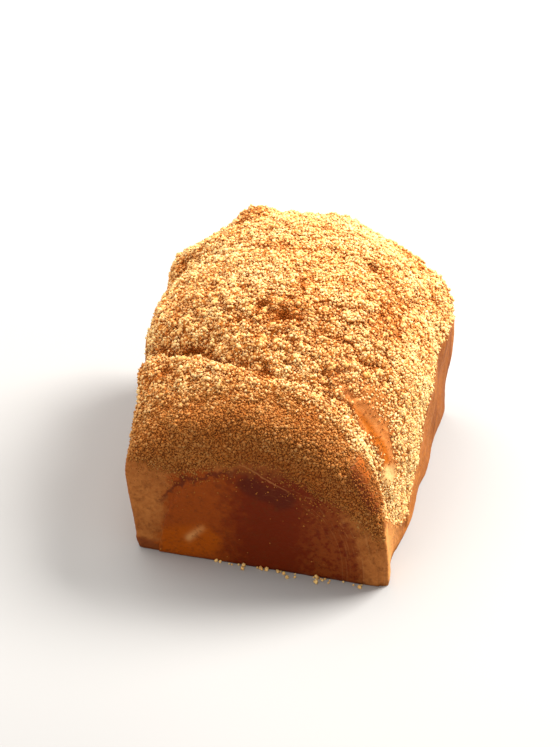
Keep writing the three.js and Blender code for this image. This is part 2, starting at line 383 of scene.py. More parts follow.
PALE_PATCH = ((43.6, 19.5, 38.0), 4.6)  # middle and radius of a soft pale spot
ORANGE_SPOT = ((46.8, 27.5, 32.0), 6.5)
BALL_RUN = (0.45, 1.3)  # shares of its radius over which such a spot fades
PATCH_BARENESS, SPOT_BARENESS = 0.8, 0.8
BARE_RIM = ((33, 51.5), (41.5, 35), 2.4)  # x and z of its ends, half width
BARE_RIM_RUN, BARE_RIM_SOFTNESS, RIM_BARENESS = (8.0, 13.0), 0.6, 0.93
RED_ZONE = ((-7.0, 52.0), (31.0, 40.0), 7.5)  # redder, darker crumbs over the arch
RED_ZONE_RUN = (0, 6)
PALE_SIDE_X, PALE_SIDE_START, PALE_SIDE_END = (34, 43), (8, 18), (60, 100)

# Stains of the near end: x and z of their ends, half width
BLEMISH = ((-29.3, 10.0), (-25.0, 15.0), 1.5)
BLEMISH_TIP = 0.5  # strength at its upper end
DARK_PATCH = ((-6.0, 41.0), (6.0, 36.5), 5.0)
LOW_ORANGE = ((-37.0, 6.0), (-25.0, 9.0), 7.5)
# Lines across it: the dark edge at the upper left of the arch, and a thin pale streak. x, z
DARK_LINE = ((-41, 24), (-36, 35.5), (-32, 38.2), (-26, 40.5), (-20, 44.3), (-12, 47), (-4, 48))
STREAK_LINE = ((-14, 51.5), (-9.7, 49.8), (-4.5, 46.9), (1.1, 44.2), (7.1, 41.7), (14, 37))


def uneven(points, name):
    """The layers of the named noise, added up."""
    return sum(height * soft_noise(points, size, seed) for height, size, seed in NOISE[name])


def line_height(along, line):
    """Height of a line of places at each place along it."""
    return np.interp(along, *zip(*line))


def distance_to_segment(places, start, end):
    """Distance of flat places from a straight stretch, and the share along it."""
    start, end = np.array(start, float), np.array(end, float)
    along = end - start
    from_start = places - start
    share = np.clip(from_start @ along / (along @ along), 0, 1)
    return np.linalg.norm(from_start - share[:, None] * along, axis=1), share


def outside_bare_strip(points):
    """Distance outside the bare strip's edge, negative on it."""
    distance = np.full(len(points), np.inf)
    for start, end in zip(BARE_STRIP[:-1], BARE_STRIP[1:]):
        away, share = distance_to_segment(points[:, :2], start[:2], end[:2])
        distance = np.minimum(distance, away - mix(start[2], end[2], share))
    return distance


def spot(places, start, end, radius, softness=0.35):
    """1 on a long spot, 0 outside it. softness is the share of the radius over which it fades."""
    away, _ = distance_to_segment(places, start, end)
    return 1 - smooth_step(away, (1 - softness) * radius, (1 + softness) * radius)


def on_strip(points, normals, softness=2.0):
    """1 on the bare strip of the top, 0 beside it."""
    inside = 1 - smooth_step(outside_bare_strip(points), -softness, softness)
    return inside * smooth_step(normals[:, 2], *TOP_FACING)


def beside_strip(points):
    """1 on the strip's far side, where the skin shows through sparse crumbs, 0 elsewhere."""
    return 1 - smooth_step(outside_bare_strip(points - BESIDE_STRIP_SHIFT), *BESIDE_STRIP_RUN)


def strip_depth(points):
    """1 along the near side of the bare strip, where its colour is deepest."""
    return 1 - smooth_step(outside_bare_strip(points - STRIP_DARK_SHIFT), *STRIP_DARK_RUN)


def end_shares(normals):
    """How much a point belongs to the near end, and to the far end."""
    return smooth_step(-normals[:, 1], *END_FACING), smooth_step(normals[:, 1], *END_FACING)


def below_crumble(points, normals):
    """How far below the crumble's lower edge a point lies, negative in the crumble."""
    x, y, z = points[:, 0], points[:, 1], points[:, 2]
    left = shoulder_height(x, y) - LEFT_LINE_DROP
    line = mix(left, line_height(y, RIGHT_LINE), smooth_step(x, *SIDE_CHANGE))
    near, far = end_shares(normals)
    line = mix(line, line_height(x, NEAR_CRUMB_LINE), near)
    line = mix(line, top_height(x, np.full_like(y, BASE_LENGTH)) - FAR_LINE_DROP, far)
    return line - z


def brown_and_shade_share(points):
    """1 where the near end's crumbs are fine and brown, 0 where they are golden. The brown is partly
    the crumbs' own and partly painted shade on the brow, which turns away from the light.
    """
    x, y, z = points[:, 0], points[:, 1], points[:, 2]
    back = y - (top_height(x, y) - z) + uneven(points, "brown_edge")
    to_right = smooth_step(x, *RIGHT_BROWN_ACROSS)
    to_left = smooth_step(-x, *LEFT_BROWN_ACROSS)
    runs = zip(NEAR_BROWN_RUN, RIGHT_BROWN_RUN, LEFT_BROWN_RUN)
    starts, ends = (mix(mix(near, right, to_right), left, to_left) for near, right, left in runs)
    on_right_wall = smooth_step(x, *RIGHT_WALL_X) * smooth_step(y, *RIGHT_WALL_Y)
    return (1 - smooth_step(back, starts, ends)) * (1 - on_right_wall)


def crumble_cover(points, normals, below):
    """1 where the crumble is thick, 0 where the crust is bare."""
    near, far = end_shares(normals)
    softness = mix(WALL_EDGE_SOFTNESS, END_EDGE_SOFTNESS, np.maximum(near, far))
    cover = 1 - smooth_step(below + uneven(points, "crumb_edge"), -softness, softness)
    strip = outside_bare_strip(points) + uneven(points, "strip_edge")
    cover *= mix(STRIP_COVER, 1, smooth_step(strip, *STRIP_COVER_RUN))
    patch = np.hypot(points[:, 0] - SPARSE_PATCH[0], points[:, 1] - SPARSE_PATCH[1])
    cover *= mix(SPARSE_COVER, 1, smooth_step(patch, *SPARSE_RUN))
    cover *= 1 - RIM_BARENESS * bare_rim(points)
    orange = SPOT_BARENESS * soft_ball(points, *ORANGE_SPOT)
    return cover * (1 - PATCH_BARENESS * np.maximum(soft_ball(points, *PALE_PATCH), orange))


def pale_and_lit_side(points):
    """1 along the right shoulder, where the crumble is palest and even, 0 elsewhere. Its paleness is
    partly painted light, where the light from the right falls on the shoulder.
    """
    x, y = points[:, 0], points[:, 1] + uneven(points, "pale_side_edge")
    along = smooth_step(y, *PALE_SIDE_START) * (1 - smooth_step(y, *PALE_SIDE_END))
    return smooth_step(x, *PALE_SIDE_X) * along


def red_zone(points):
    """1 where the near end's crumbs are redder, 0 elsewhere."""
    flat = points[:, [0, 2]] + uneven(points, "red_edge")[:, None]
    return spot(flat, *RED_ZONE) * (1 - smooth_step(points[:, 1], *RED_ZONE_RUN))


def bare_rim(points):
    """1 on the smooth, nearly bare stretch of the near brow, at the right of the arch."""
    flat = points[:, [0, 2]] + uneven(points, "rim_edge")[:, None]
    on_rim = spot(flat, *BARE_RIM, BARE_RIM_SOFTNESS)
    return on_rim * (1 - smooth_step(points[:, 1], *BARE_RIM_RUN))


def soft_ball(points, middle, radius):
    """1 within a ragged ball, 0 outside it."""
    away = np.linalg.norm(points - np.array(middle), axis=1) + uneven(points, "ball_edge")
    return 1 - smooth_step(away, *(share * radius for share in BALL_RUN))


# ---------------------------------------------------------------- relief of the bread (mm)

CRUMBLE_RISE = 0.2  # the tops of the clumps stand this far above the outer form
CRUMBLE_EDGE = (0.05, 0.75)  # cover over which the crumble's relief begins
CLUMP_SIZE, CLUMP_DOME, CLUMP_STEP = 4.6, 1.2, 0.6
CLUMP_SEED, PEBBLE_SEED = 31, 32
CLUMP_REACH = 1.1  # a clump falls off as far as this share of its size
CLUMP_WOBBLE, CLUMP_WOBBLE_SIZE, CLUMP_WOBBLE_SEEDS = 0.7, 2.6, (33, 34, 35)
GAP_WIDTH, GAP_DEPTH = 0.6, 1.3
FRONT_EVENNESS, FRONT_RUN = 0.6, (14, 30)  # the first coil's crumble is finer and more even
FAR_EVENNESS, FAR_RUN = 0.3, (55, 110)  # and so is the crumble far back
SIDE_EVENNESS = 0.65  # and along the right shoulder
EVEN_LEVEL, EVEN_CLUMPS = 0.6, 0.15  # depth of even crumble, and the share of clumps left in it
PEBBLE_SIZE, PEBBLE_RELIEF = 1.9, 0.8
DEEPEST_RELIEF = 3.0
STRIP_DEPTH = 1.2

# The fold behind the first coil: a raised edge and a sharp groove, deeper at the left
FOLD_FACING = (0.1, 0.5)  # like TOP_FACING, for the fold and the dimples
FOLD_DEPTH, FOLD_WIDTH = 2.6, 1.2
FOLD_EDGE_HEIGHT, FOLD_EDGE_WIDTH, FOLD_EDGE_PLACE = 0.9, 2.0, -3.2
FOLD_MIDDLE_SHARE, FOLD_LEFT_RUN, FOLD_RIGHT_RUN = 0.3, (14, 32), (-2, 14)
FOLD_BROKEN_SHARE, FOLD_BROKEN_RUN = 0.35, (-0.7, 0.1)

# Dimples in the top: x, y, radius, depth
PITS = (
    (-6.6, 47.0, 2.7, 3.0),
    (-16.5, 51.0, 1.8, 1.8),
    (-24.0, 43.0, 1.6, 1.4),
    (-32.5, 33.8, 1.8, 1.6),
    (20.5, 96.0, 2.2, 1.2),
    (11.5, 115.5, 2.2, 1.2),
    (44.5, 110.0, 2.0, 1.0),
)

# The upright crease on the right wall, where the first coil ends
WALL_CREASE_FOOT, WALL_CREASE_TOP = (38.5, 3.0), (33.5, 46.0)  # y and z
WALL_CREASE_DEPTH, WALL_CREASE_WIDTH, WALL_CREASE_X = 1.1, 1.5, (35, 42)
FAR_WALL_RUN = (58, 100)  # the right wall is browner far back

RIM_SLOPE = 0.8  # turns height over the arch's rim into distance from it
RIM_CREASE_PLACE, RIM_CREASE_DEPTH, RIM_CREASE_WIDTH = 0.3, 0.5, 1.7
MARK_SPACING, MARK_DEPTH = 2.1, 0.2
MARK_PLACE, MARK_BAND, MARK_ACROSS = 2, 7, (-4, 10)
FOOT_LIP_TOP, FOOT_LIP_EDGE = 5.4, (-0.7, 0.9)
FOOT_LIP_HEIGHT, FOOT_LIP_RUN = 0.5, (12, 34)  # the lip is at the left of the near foot


def clump_relief(points, brown):
    """Height of the crumble's uneven surface, 0 at its tops, with gaps between the clumps."""
    wobble = [soft_noise(points, CLUMP_WOBBLE_SIZE, seed) for seed in CLUMP_WOBBLE_SEEDS]
    shaken = points + CLUMP_WOBBLE * np.stack(wobble, axis=1)
    middle, border, number = scattered_cells(shaken, CLUMP_SIZE, CLUMP_SEED)
    gap = hill(border * CLUMP_SIZE, 0, GAP_WIDTH)
    pebble, _, _ = scattered_cells(points, PEBBLE_SIZE, PEBBLE_SEED)
    dome = CLUMP_DOME * np.minimum(middle, CLUMP_REACH) ** 2
    clump = dome + CLUMP_STEP * number + GAP_DEPTH * gap
    evenness = np.maximum.reduce([
        brown,
        FRONT_EVENNESS * (1 - smooth_step(points[:, 1], *FRONT_RUN)),
        FAR_EVENNESS * smooth_step(points[:, 1], *FAR_RUN),
        SIDE_EVENNESS * pale_and_lit_side(points),
    ])
    return -mix(clump, EVEN_LEVEL + EVEN_CLUMPS * clump, evenness) - PEBBLE_RELIEF * pebble**2


def fold_relief(points):
    """The raised back edge of the first coil and the groove behind it."""
    x, y = points[:, 0], points[:, 1]
    start, left_bend, right_bend = VALLEYS[0][:3]
    past = y - valley_line(x, start, left_bend, right_bend) + uneven(points, "fold_wobble")
    strength = mix(FOLD_MIDDLE_SHARE, 1, smooth_step(-x, *FOLD_LEFT_RUN))
    strength *= 1 - smooth_step(x, *FOLD_RIGHT_RUN)
    whole = smooth_step(uneven(points, "fold_breaks"), *FOLD_BROKEN_RUN)
    groove = FOLD_DEPTH * hill(past, 0, FOLD_WIDTH) * mix(FOLD_BROKEN_SHARE, 1, whole)
    edge = FOLD_EDGE_HEIGHT * hill(past, FOLD_EDGE_PLACE, FOLD_EDGE_WIDTH)
    return strength * (edge - groove)


def pit_relief(points):
    depth = np.zeros(len(points))
    ragged = uneven(points, "pit_edge")
    for x, y, radius, deepest in PITS:
        depth += deepest * hill(np.hypot(points[:, 0] - x, points[:, 1] - y) + ragged, 0, radius)
    return -depth


def wall_crease(points):
    """1 along the upright crease of the right wall. It sinks the crease, and the material paints
    shade into it.
    """
    away, _ = distance_to_segment(points[:, 1:], WALL_CREASE_FOOT, WALL_CREASE_TOP)
    crease = hill(away + uneven(points, "wall_crease"), 0, WALL_CREASE_WIDTH)
    return crease * smooth_step(points[:, 0], *WALL_CREASE_X)


def near_end_relief(points, near):
    """The crease round the arch, the stretch marks along its upper right and the lip at its foot."""
    x, z = points[:, 0], points[:, 2]
    over_rim = above_arch_rim(x, z) * RIM_SLOPE
    crease = RIM_CREASE_DEPTH * hill(over_rim, RIM_CREASE_PLACE, RIM_CREASE_WIDTH)
    wave = np.cos(2 * math.pi * (over_rim + uneven(points, "stretch_marks")) / MARK_SPACING)
    marks = MARK_DEPTH * wave * hill(over_rim, MARK_PLACE, MARK_BAND)
    return near * (marks * smooth_step(x, *MARK_ACROSS) - crease + FOOT_LIP_HEIGHT * foot_lip(points))


def foot_lip(points):
    """1 on the low brown lip at the left of the near foot."""
    over = points[:, 2] - FOOT_LIP_TOP - uneven(points, "foot_lip")
    return (1 - smooth_step(over, *FOOT_LIP_EDGE)) * smooth_step(-points[:, 0], *FOOT_LIP_RUN)


def lattice_squares(start, along, across, steps_along, steps_across):
    """Whole-number corners of a side's squares, turning outwards by along x across."""
    i, j = np.meshgrid(np.arange(steps_along), np.arange(steps_across), indexing="ij")
    corners = []
    for di, dj in ((0, 0), (1, 0), (1, 1), (0, 1)):
        corners.append(start + (i + di)[..., None] * along + (j + dj)[..., None] * across)
    return np.stack(corners, axis=2).reshape(-1, 4, 3)


def skin_lattice():
    """Directions from the heart through a box's four sides and top, and the squares they make."""
    nx, ny, nz = SKIN_SQUARES
    ex, ey, ez = np.eye(3, dtype=np.int64)
    squares = np.concatenate([
        lattice_squares(nz * ez, ex, ey, nx, ny),
        lattice_squares(0 * ez, ex, ez, nx, nz),
        lattice_squares(ny * ey, ez, ex, nz, nx),
        lattice_squares(nx * ex, ey, ez, ny, nz),
        lattice_squares(0 * ez, ez, ey, nz, ny),
    ])
    codes = squares @ np.array([1, nx + 1, (nx + 1) * (ny + 1)])
    kept, first, numbers = np.unique(codes, return_index=True, return_inverse=True)
    corners = squares.reshape(-1, 3)[first]
    box_points = (2 * corners / np.array(SKIN_SQUARES) - 1) * RAY_BOX
    directions = box_points / np.linalg.norm(box_points, axis=1, keepdims=True)
    foot = [int(np.searchsorted(kept, x + y * (nx + 1))) for x, y in foot_ring(nx, ny)]
    return directions, numbers.reshape(-1, 4), foot


def foot_ring(nx, ny):
    """Lattice corners round the foot, turning downwards."""
    ring = [(0, j) for j in range(ny)]
    ring += [(i, ny) for i in range(nx)]
    ring += [(nx, j) for j in range(ny, 0, -1)]
    ring += [(i, 0) for i in range(nx, 0, -1)]
    return ring


def bread_surface():
    """The bread's final points and squares, with what the crumbs and the material ask of them."""
    directions, squares, foot = skin_lattice()
    outer = surface_points(directions)
    normals = surface_normals(outer)
    below = below_crumble(outer, normals)
    cover = crumble_cover(outer, normals, below)
    brown = brown_and_shade_share(outer)
    near, _ = end_shares(normals)
    thick = smooth_step(cover, *CRUMBLE_EDGE)
    relief = thick * (clump_relief(outer, brown) + CRUMBLE_RISE)
    relief -= (1 - thick) * STRIP_DEPTH * on_strip(outer, normals)
    relief += (fold_relief(outer) + pit_relief(outer)) * smooth_step(normals[:, 2], *FOLD_FACING)
    # How deep a point lies in the crumble's gaps: it places the grains, and the materials paint shade
    # from it
    depth = np.clip(-relief / DEEPEST_RELIEF, 0, 1)
    relief += (1 - cover) * (uneven(outer, "wall_relief") + near_end_relief(outer, near))
    relief -= WALL_CREASE_DEPTH * wall_crease(outer)
    points = outer + normals * relief[:, None]
    points[:, 2] = np.maximum(points[:, 2], 0)
    points[foot, 2] = 0
    return {
        "points": points, "squares": squares, "foot": foot, "outer": outer, "normals": normals,
        "below": below, "cover": cover, "depth": depth, "near": near, "brown": brown,
    }


# ---------------------------------------------------------------- pieces


def new_piece(name, points, faces):
    """A smooth mesh object from points in the form's millimetres."""
    mesh = bpy.data.meshes.new(name)
    mesh.from_pydata(((points - FORM_MIDDLE) * MM).tolist(), [], faces)
    mesh.update()
    mesh.polygons.foreach_set("use_smooth", np.ones(len(mesh.polygons), dtype=bool))
    piece = bpy.data.objects.new(name, mesh)
    bpy.context.scene.collection.objects.link(piece)
    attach(piece, "root")
    return piece


def set_values(piece, **values):
    """Named numbers on every corner point, for the material to read."""
    for name, numbers in values.items():
        attribute = piece.data.attributes.new(name, "FLOAT", "POINT")
        attribute.data.foreach_set("value", np.asarray(numbers, dtype=np.float32))


# How ragged the edge of each zone is, as a share of the crust's noise
RAGGEDNESS = {
    "browned": 0.6, "blemish": 0.4, "strip": 0.4, "strip_depth": 0.3, "far_wall": 3, "rim": 0.6,
}
CRUMBED_RUN = (0.25, 0.8)  # cover over which the crust takes on the colour under the crumble
BAND_BELOW_CRUMBLE_PLACE, BAND_BELOW_CRUMBLE_WIDTH = 2.0, 3.0  # a darker band of crust, just below the crumble on the walls
RIM_ORANGE_RUN = (0.5, 6.5)
# where the painted highlight on the right wall beside the near end lies
CORNER_X, CORNER_Y, CORNER_TOP, CORNER_FOOT = (44.5, 47), (16, 32), (24, 31), (0, 4)
ARCH_FIELD_LIMIT = 30


def make_bread(surface):
    """The bread itself, with its zones as named numbers."""
    faces = surface["squares"].tolist() + [surface["foot"]]
    bread = new_piece("bread", surface["points"], faces)
    outer, normals, near = surface["outer"], surface["normals"], surface["near"]
    x, y, z = outer.T
    flat = outer[:, [0, 2]]
    crust_edge = uneven(outer, "crust_edge")
    ragged = {zone: share * crust_edge for zone, share in RAGGEDNESS.items()}
    ragged_flat = flat + crust_edge[:, None]
    on_top = smooth_step(normals[:, 2], *TOP_FACING)
    below_edge = surface["below"] + ragged["browned"]
    browned = hill(below_edge, BAND_BELOW_CRUMBLE_PLACE, BAND_BELOW_CRUMBLE_WIDTH) * (1 - near)
    far_wall = smooth_step(y + ragged["far_wall"], *FAR_WALL_RUN)
    far_wall *= smooth_step(normals[:, 0], *RIGHT_FACING)
    off_strip = smooth_step(outside_bare_strip(outer) + ragged["strip"], *STRIP_STAIN_RUN)
    away, along = distance_to_segment(flat + ragged["blemish"][:, None], *BLEMISH[:2])
    set_values(
        bread,
        crumbed=smooth_step(surface["cover"], *CRUMBED_RUN),
        depth=surface["depth"],
        brown=surface["brown"],
        near_end=near,
        across=x,
        outside_arch=np.clip(outside_arch(x, z), -ARCH_FIELD_LIMIT, ARCH_FIELD_LIMIT),
        over_dark_line=z - line_height(x, DARK_LINE),
        over_streak=z - line_height(x, STREAK_LINE),
        low_orange=spot(ragged_flat, *LOW_ORANGE),
        dark_patch=spot(ragged_flat, *DARK_PATCH),
        blemish=hill(away, 0, BLEMISH[2]) * mix(1, BLEMISH_TIP, along),
        strip=on_top * (1 - off_strip),
        strip_depth=on_top * strip_depth(outer + ragged["strip_depth"][:, None]),
        beside_strip=on_top * beside_strip(outer),
        bare_rim=bare_rim(outer),
        rim_orange=smooth_step(y + ragged["rim"], *RIM_ORANGE_RUN),
        reddish=red_zone(outer),
        pale_patch=soft_ball(outer, *PALE_PATCH),
        orange_spot=soft_ball(outer, *ORANGE_SPOT),
        # darker band below the crumble, painted shade in the wall's upright crease, and the browner
        # far wall
        crease=np.maximum.reduce([browned, wall_crease(outer), far_wall]),
        corner=painted_corner_highlight(outer) * (1 - near),
        foot=near * foot_lip(outer),
    )
    return bread


def painted_corner_highlight(points):
    """1 on the bright foot of the right wall, beside the near end: a painted highlight where the
    corner catches the light.
    """
    x, y, z = points[:, 0], points[:, 1], points[:, 2] + uneven(points, "corner_edge")
    beside_end = smooth_step(x, *CORNER_X) * (1 - smooth_step(y, *CORNER_Y))
    return beside_end * (1 - smooth_step(z, *CORNER_TOP)) * smooth_step(z, *CORNER_FOOT)


# ---------------------------------------------------------------- crumble

# Patches that baked darker, or paler where the amount is below 0: x, y, radius, amount
TOASTED_SPOTS = (
    (-5.5, 49.0, 6.0, 1.5),
    (-15.5, 53.0, 5.5, 1.2),
    (-26.0, 43.0, 6.0, 0.6),
    (-40.0, 44.0, 7.0, 0.6),
    (-52.0, 51.0, 7.0, 0.7),
    (-54.0, 29.0, 4.5, 0.7),
    (-9.0, 24.0, 6.0, 0.7),
    (25.0, 97.0, 4.5, 1.4),
    (0.0, 112.0, 4.5, 1.4),
    (35.0, 89.5, 4.0, 1.0),
    (46.0, 109.5, 4.5, 1.2),
    (-33.0, 126.0, 7.0, 1.0),
    (-56.0, 99.0, 7.0, 0.8),
    (-44.0, 112.0, 9.0, 0.5),
    (26.0, 52.0, 10.0, -0.5),
    (-30.0, 60.0, 18.0, -0.7),
    (34.0, 14.0, 9.0, -0.6),
)
FRONT_TOAST, FAR_TOAST, TOAST_RUN = 0.3, 0.4, (8, 70)  # for the whole top, and its run of y
# paler crumbs along the right shoulder, partly painted light from the right
PALE_SIDE_TOAST = -0.55
TOAST_LIMITS = (-1, 1.3)


def toasted_zone(points):
    """Above 0 in the patches that baked darker, below 0 in the palest."""
    zone = uneven(points, "toast")
    zone += mix(FRONT_TOAST, FAR_TOAST, smooth_step(points[:, 1], *TOAST_RUN))
    zone += PALE_SIDE_TOAST * pale_and_lit_side(points)
    for x, y, radius, amount in TOASTED_SPOTS:
        zone += amount * hill(np.hypot(points[:, 0] - x, points[:, 1] - y), 0, radius)
    return np.clip(zone, *TOAST_LIMITS)


def block_mesh():
    """Points and triangles of a block whose corners lie on a ball of radius 1."""
    shape = bmesh.new()
    bmesh.ops.create_cube(shape, size=2 / math.sqrt(3))
    bmesh.ops.triangulate(shape, faces=shape.faces)
    return mesh_arrays(shape)


def ball_mesh():
    """Points and triangles of a ball of radius 1."""
    shape = bmesh.new()
    bmesh.ops.create_icosphere(shape, subdivisions=2, radius=1)
    return mesh_arrays(shape)


def mesh_arrays(shape):
    points = np.array([corner.co[:] for corner in shape.verts])
    faces = np.array([[corner.index for corner in face.verts] for face in shape.faces])
    shape.free()
    return points, faces


def random_turns(rng, count):
    """Rotation matrices with no favoured direction."""
    q = rng.normal(size=(count, 4))
    w, x, y, z = (q / np.linalg.norm(q, axis=1, keepdims=True)).T
    rows = [
        [1 - 2 * (y * y + z * z), 2 * (x * y - z * w), 2 * (x * z + y * w)],
        [2 * (x * y + z * w), 1 - 2 * (x * x + z * z), 2 * (y * z - x * w)],
        [2 * (x * z - y * w), 2 * (y * z + x * w), 1 - 2 * (x * x + y * y)],
    ]
    return np.array(rows).transpose(2, 0, 1)


GRAIN_STRETCH, CORNER_SHIFT = 0.25, 0.28  # how unlike a ball a grain is, as shares of its radius


def random_sizes(rng, smallest, largest, count):
    """Sizes between the two, most of them small."""
    return mix(smallest, largest, rng.random(count) ** 2)


def uneven_grains(rng, shape, centres, sizes):
    """One joined mesh of uneven grains: points, faces and each point's grain number."""
    corners, faces = shape
    count = len(centres)
    stretch = 1 + GRAIN_STRETCH * rng.uniform(-1, 1, (count, 1, 3))
    shift = CORNER_SHIFT * rng.uniform(-1, 1, (count, len(corners), 3))
    grains = (corners[None] + shift) * stretch * (sizes / 2)[:, None, None]
    grains = np.einsum("nij,nkj->nki", random_turns(rng, count), grains)
    points = (grains + centres[:, None]).reshape(-1, 3)
    starts = len(corners) * np.arange(count)
    all_faces = (faces[None] + starts[:, None, None]).reshape(-1, 3)
    return points, all_faces.tolist(), np.repeat(np.arange(count), len(corners))


class Sampler:
    """Random spots on the bread's own surface, more of them where the weights are high."""

    def __init__(self, surface, weights):
        squares = surface["squares"]
        self.corners = surface["points"][squares]
        self.middle = self.corners.mean(axis=1)
        self.cover, self.depth, self.below, self.near, self.brown = (
            surface[name][squares].mean(axis=1)
            for name in ("cover", "depth", "below", "near", "brown")
        )
        self.outer_normals = surface["normals"][squares].mean(axis=1)
        diagonals = np.cross(
            self.corners[:, 2] - self.corners[:, 0], self.corners[:, 3] - self.corners[:, 1]
        )
        areas = np.linalg.norm(diagonals, axis=1) / 2
        self.normals = diagonals / np.maximum(2 * areas[:, None], 1e-9)
        chances = areas * weights(self)
        self.chances = chances / chances.sum()

    def draw(self, rng, count):
        chosen = rng.choice(len(self.chances), size=count, p=self.chances)
        u, v = rng.random((2, count, 1))
        c = self.corners[chosen]
        return mix(mix(c[:, 0], c[:, 1], u), mix(c[:, 3], c[:, 2], u), v), chosen


def spread_out(spots, spacings, limit):
    """Numbers of the spots that keep their distance from all that were kept before."""
    cell = max(spacings)
    grid = {}
    kept = []
    cells = np.floor(spots / cell).astype(int).tolist()
    places = spots.tolist()
    around = [(i - 1, j - 1, k - 1) for i, j, k in np.ndindex(3, 3, 3)]
    for number, ((x, y, z), (i, j, k)) in enumerate(zip(places, cells)):
        reach = spacings[number] ** 2
        near = (other for di, dj, dk in around for other in grid.get((i + di, j + dj, k + dk), ()))
        if any((x - a) ** 2 + (y - b) ** 2 + (z - c) ** 2 < reach for a, b, c in near):
            continue
        grid.setdefault((i, j, k), []).append((x, y, z))
        kept.append(number)
        if len(kept) == limit:
            break
    return np.array(kept)


# Grains by kind: count, smallest and largest size (mm), the pulls to toasted patches and to the
# gaps between clumps, and how many lie where the crumble is golden and where it is brown
GRAIN_KINDS = {
    "crumble_golden": (14000, 1.1, 2.2, 0.0, -0.8, 1.0, 0.3),
    "crumble_pale": (10500, 1.05, 2.0, -1.1, -1.6, 1.0, 0.02),
    "crumble_toasted": (7000, 0.9, 1.8, 2.2, 0.8, 1.0, 0.5),
    "crumble_brown": (9500, 0.9, 1.7, 0.0, 0.0, 0.0, 1.0),
}
GRAIN_SPACING = 0.62  # share of its size that a grain keeps from its neighbours
DRAWN_PER_GRAIN = 2.4  # spots drawn for each grain that is kept
GRAIN_SINK, BROWN_GRAIN_SINK = 0.2, 0.42  # share of its size that a grain sits in the bread
MIDDLE_DEPTH = 0.5  # of the gaps, where a grain's pull to them is nothing
THICK_POWER = 1.5
GAP_GRAIN_SHRINK = 0.3
EDGE_GRAIN_SHARE, EDGE_RUN = 0.6, (0.1, 0.9)  # grains are this small where the crumble thins out
GRAIN_FOOT_SHADE, GRAIN_FOOT_SHADE_RUN = 0.7, (0.1, 0.7)  # painted shade: a grain is browner at its foot than at its top
GRAIN_FOOT_SHADE_TURN = 0.35  # height, as a share of its size, above which a grain is painted paler instead
DEEPEST_GRAIN = 1.5
BROWN_MIX_RUN = (0.02, 0.5)


def make_grains(surface, name, seed):
    """One kind of crumble grain, where the crumble is thick and that kind belongs."""
    count, smallest, largest, to_toasted, to_gaps, golden, brown = GRAIN_KINDS[name]
    rng = np.random.default_rng(seed)

    def weights(sampler):
        pull = to_toasted * toasted_zone(sampler.middle)
        pull += to_gaps * (sampler.depth - MIDDLE_DEPTH)
        share = mix(golden, brown, smooth_step(sampler.brown, *BROWN_MIX_RUN))
        return sampler.cover**THICK_POWER * np.exp(pull) * share

    sampler = Sampler(surface, weights)
    spots, chosen = sampler.draw(rng, round(DRAWN_PER_GRAIN * count))
    sizes = random_sizes(rng, smallest, largest, len(spots))
    sizes *= 1 - GAP_GRAIN_SHRINK * sampler.depth[chosen]
    sizes *= mix(EDGE_GRAIN_SHARE, 1, smooth_step(sampler.cover[chosen], *EDGE_RUN))
    kept = spread_out(spots, GRAIN_SPACING * sizes, count)
    spots, chosen, sizes = spots[kept], chosen[kept], sizes[kept]
    normals = sampler.normals[chosen]
    sink = mix(GRAIN_SINK, BROWN_GRAIN_SINK, sampler.brown[chosen] ** 2)
    centres = spots + normals * ((0.5 - sink) * sizes)[:, None]
    points, faces, grain = uneven_grains(rng, block_mesh(), centres, sizes)
    # Painted shade: a grain darkens the deeper it lies in the gaps and the lower a point sits on it
    upward = np.sum((points - centres[grain]) * normals[grain], axis=1) / sizes[grain]
    foot_shade = GRAIN_FOOT_SHADE * smooth_step(sampler.cover[chosen], *GRAIN_FOOT_SHADE_RUN)
    depth = sampler.depth[chosen][grain] + foot_shade[grain] * (GRAIN_FOOT_SHADE_TURN - upward)
    rim = bare_rim(spots)
    piece = new_piece(name, points, faces)
    set_values(
        piece,
        grain_tone=rng.random(len(sizes))[grain],
        toast=toasted_zone(spots)[grain],
        depth=np.clip(depth, 0, DEEPEST_GRAIN),
        brown=np.maximum(sampler.brown[chosen], rim)[grain],
        reddish=np.maximum(red_zone(spots), rim)[grain],
    )
    return piece


LUMP_COUNT, LUMPS_DRAWN = 400, 5000
LUMP_SPACING = 4.4
LUMP_SIZES = (1.9, 3.5)
LUMP_GRAINS = 6
LUMP_GRAIN_SHARES = (0.38, 0.62)  # size of a grain, as a share of its lump's
LUMP_SPREAD = (0.2, 0.42)  # distance of a grain from its lump's middle, as such a share
LUMP_FLATNESS = 0.65
LUMP_RISE = 0.02
FRONT_LUMP_SHARE, FRONT_LUMP_RUN = 0.12, (16, 34)  # there are fewer lumps on the first coil
LUMP_POWER, LUMP_GAP_PULL = 4, -3  # lumps keep to thick golden crumble, and out of the gaps
LUMP_DEPTH, LUMP_SHADE, DEEPEST_LUMP = 0.75, 2.2, 1.2  # painted shade of its grains: depth at its middle, its fall with height, its limit
LUMP_TONE_SPREAD = 0.5


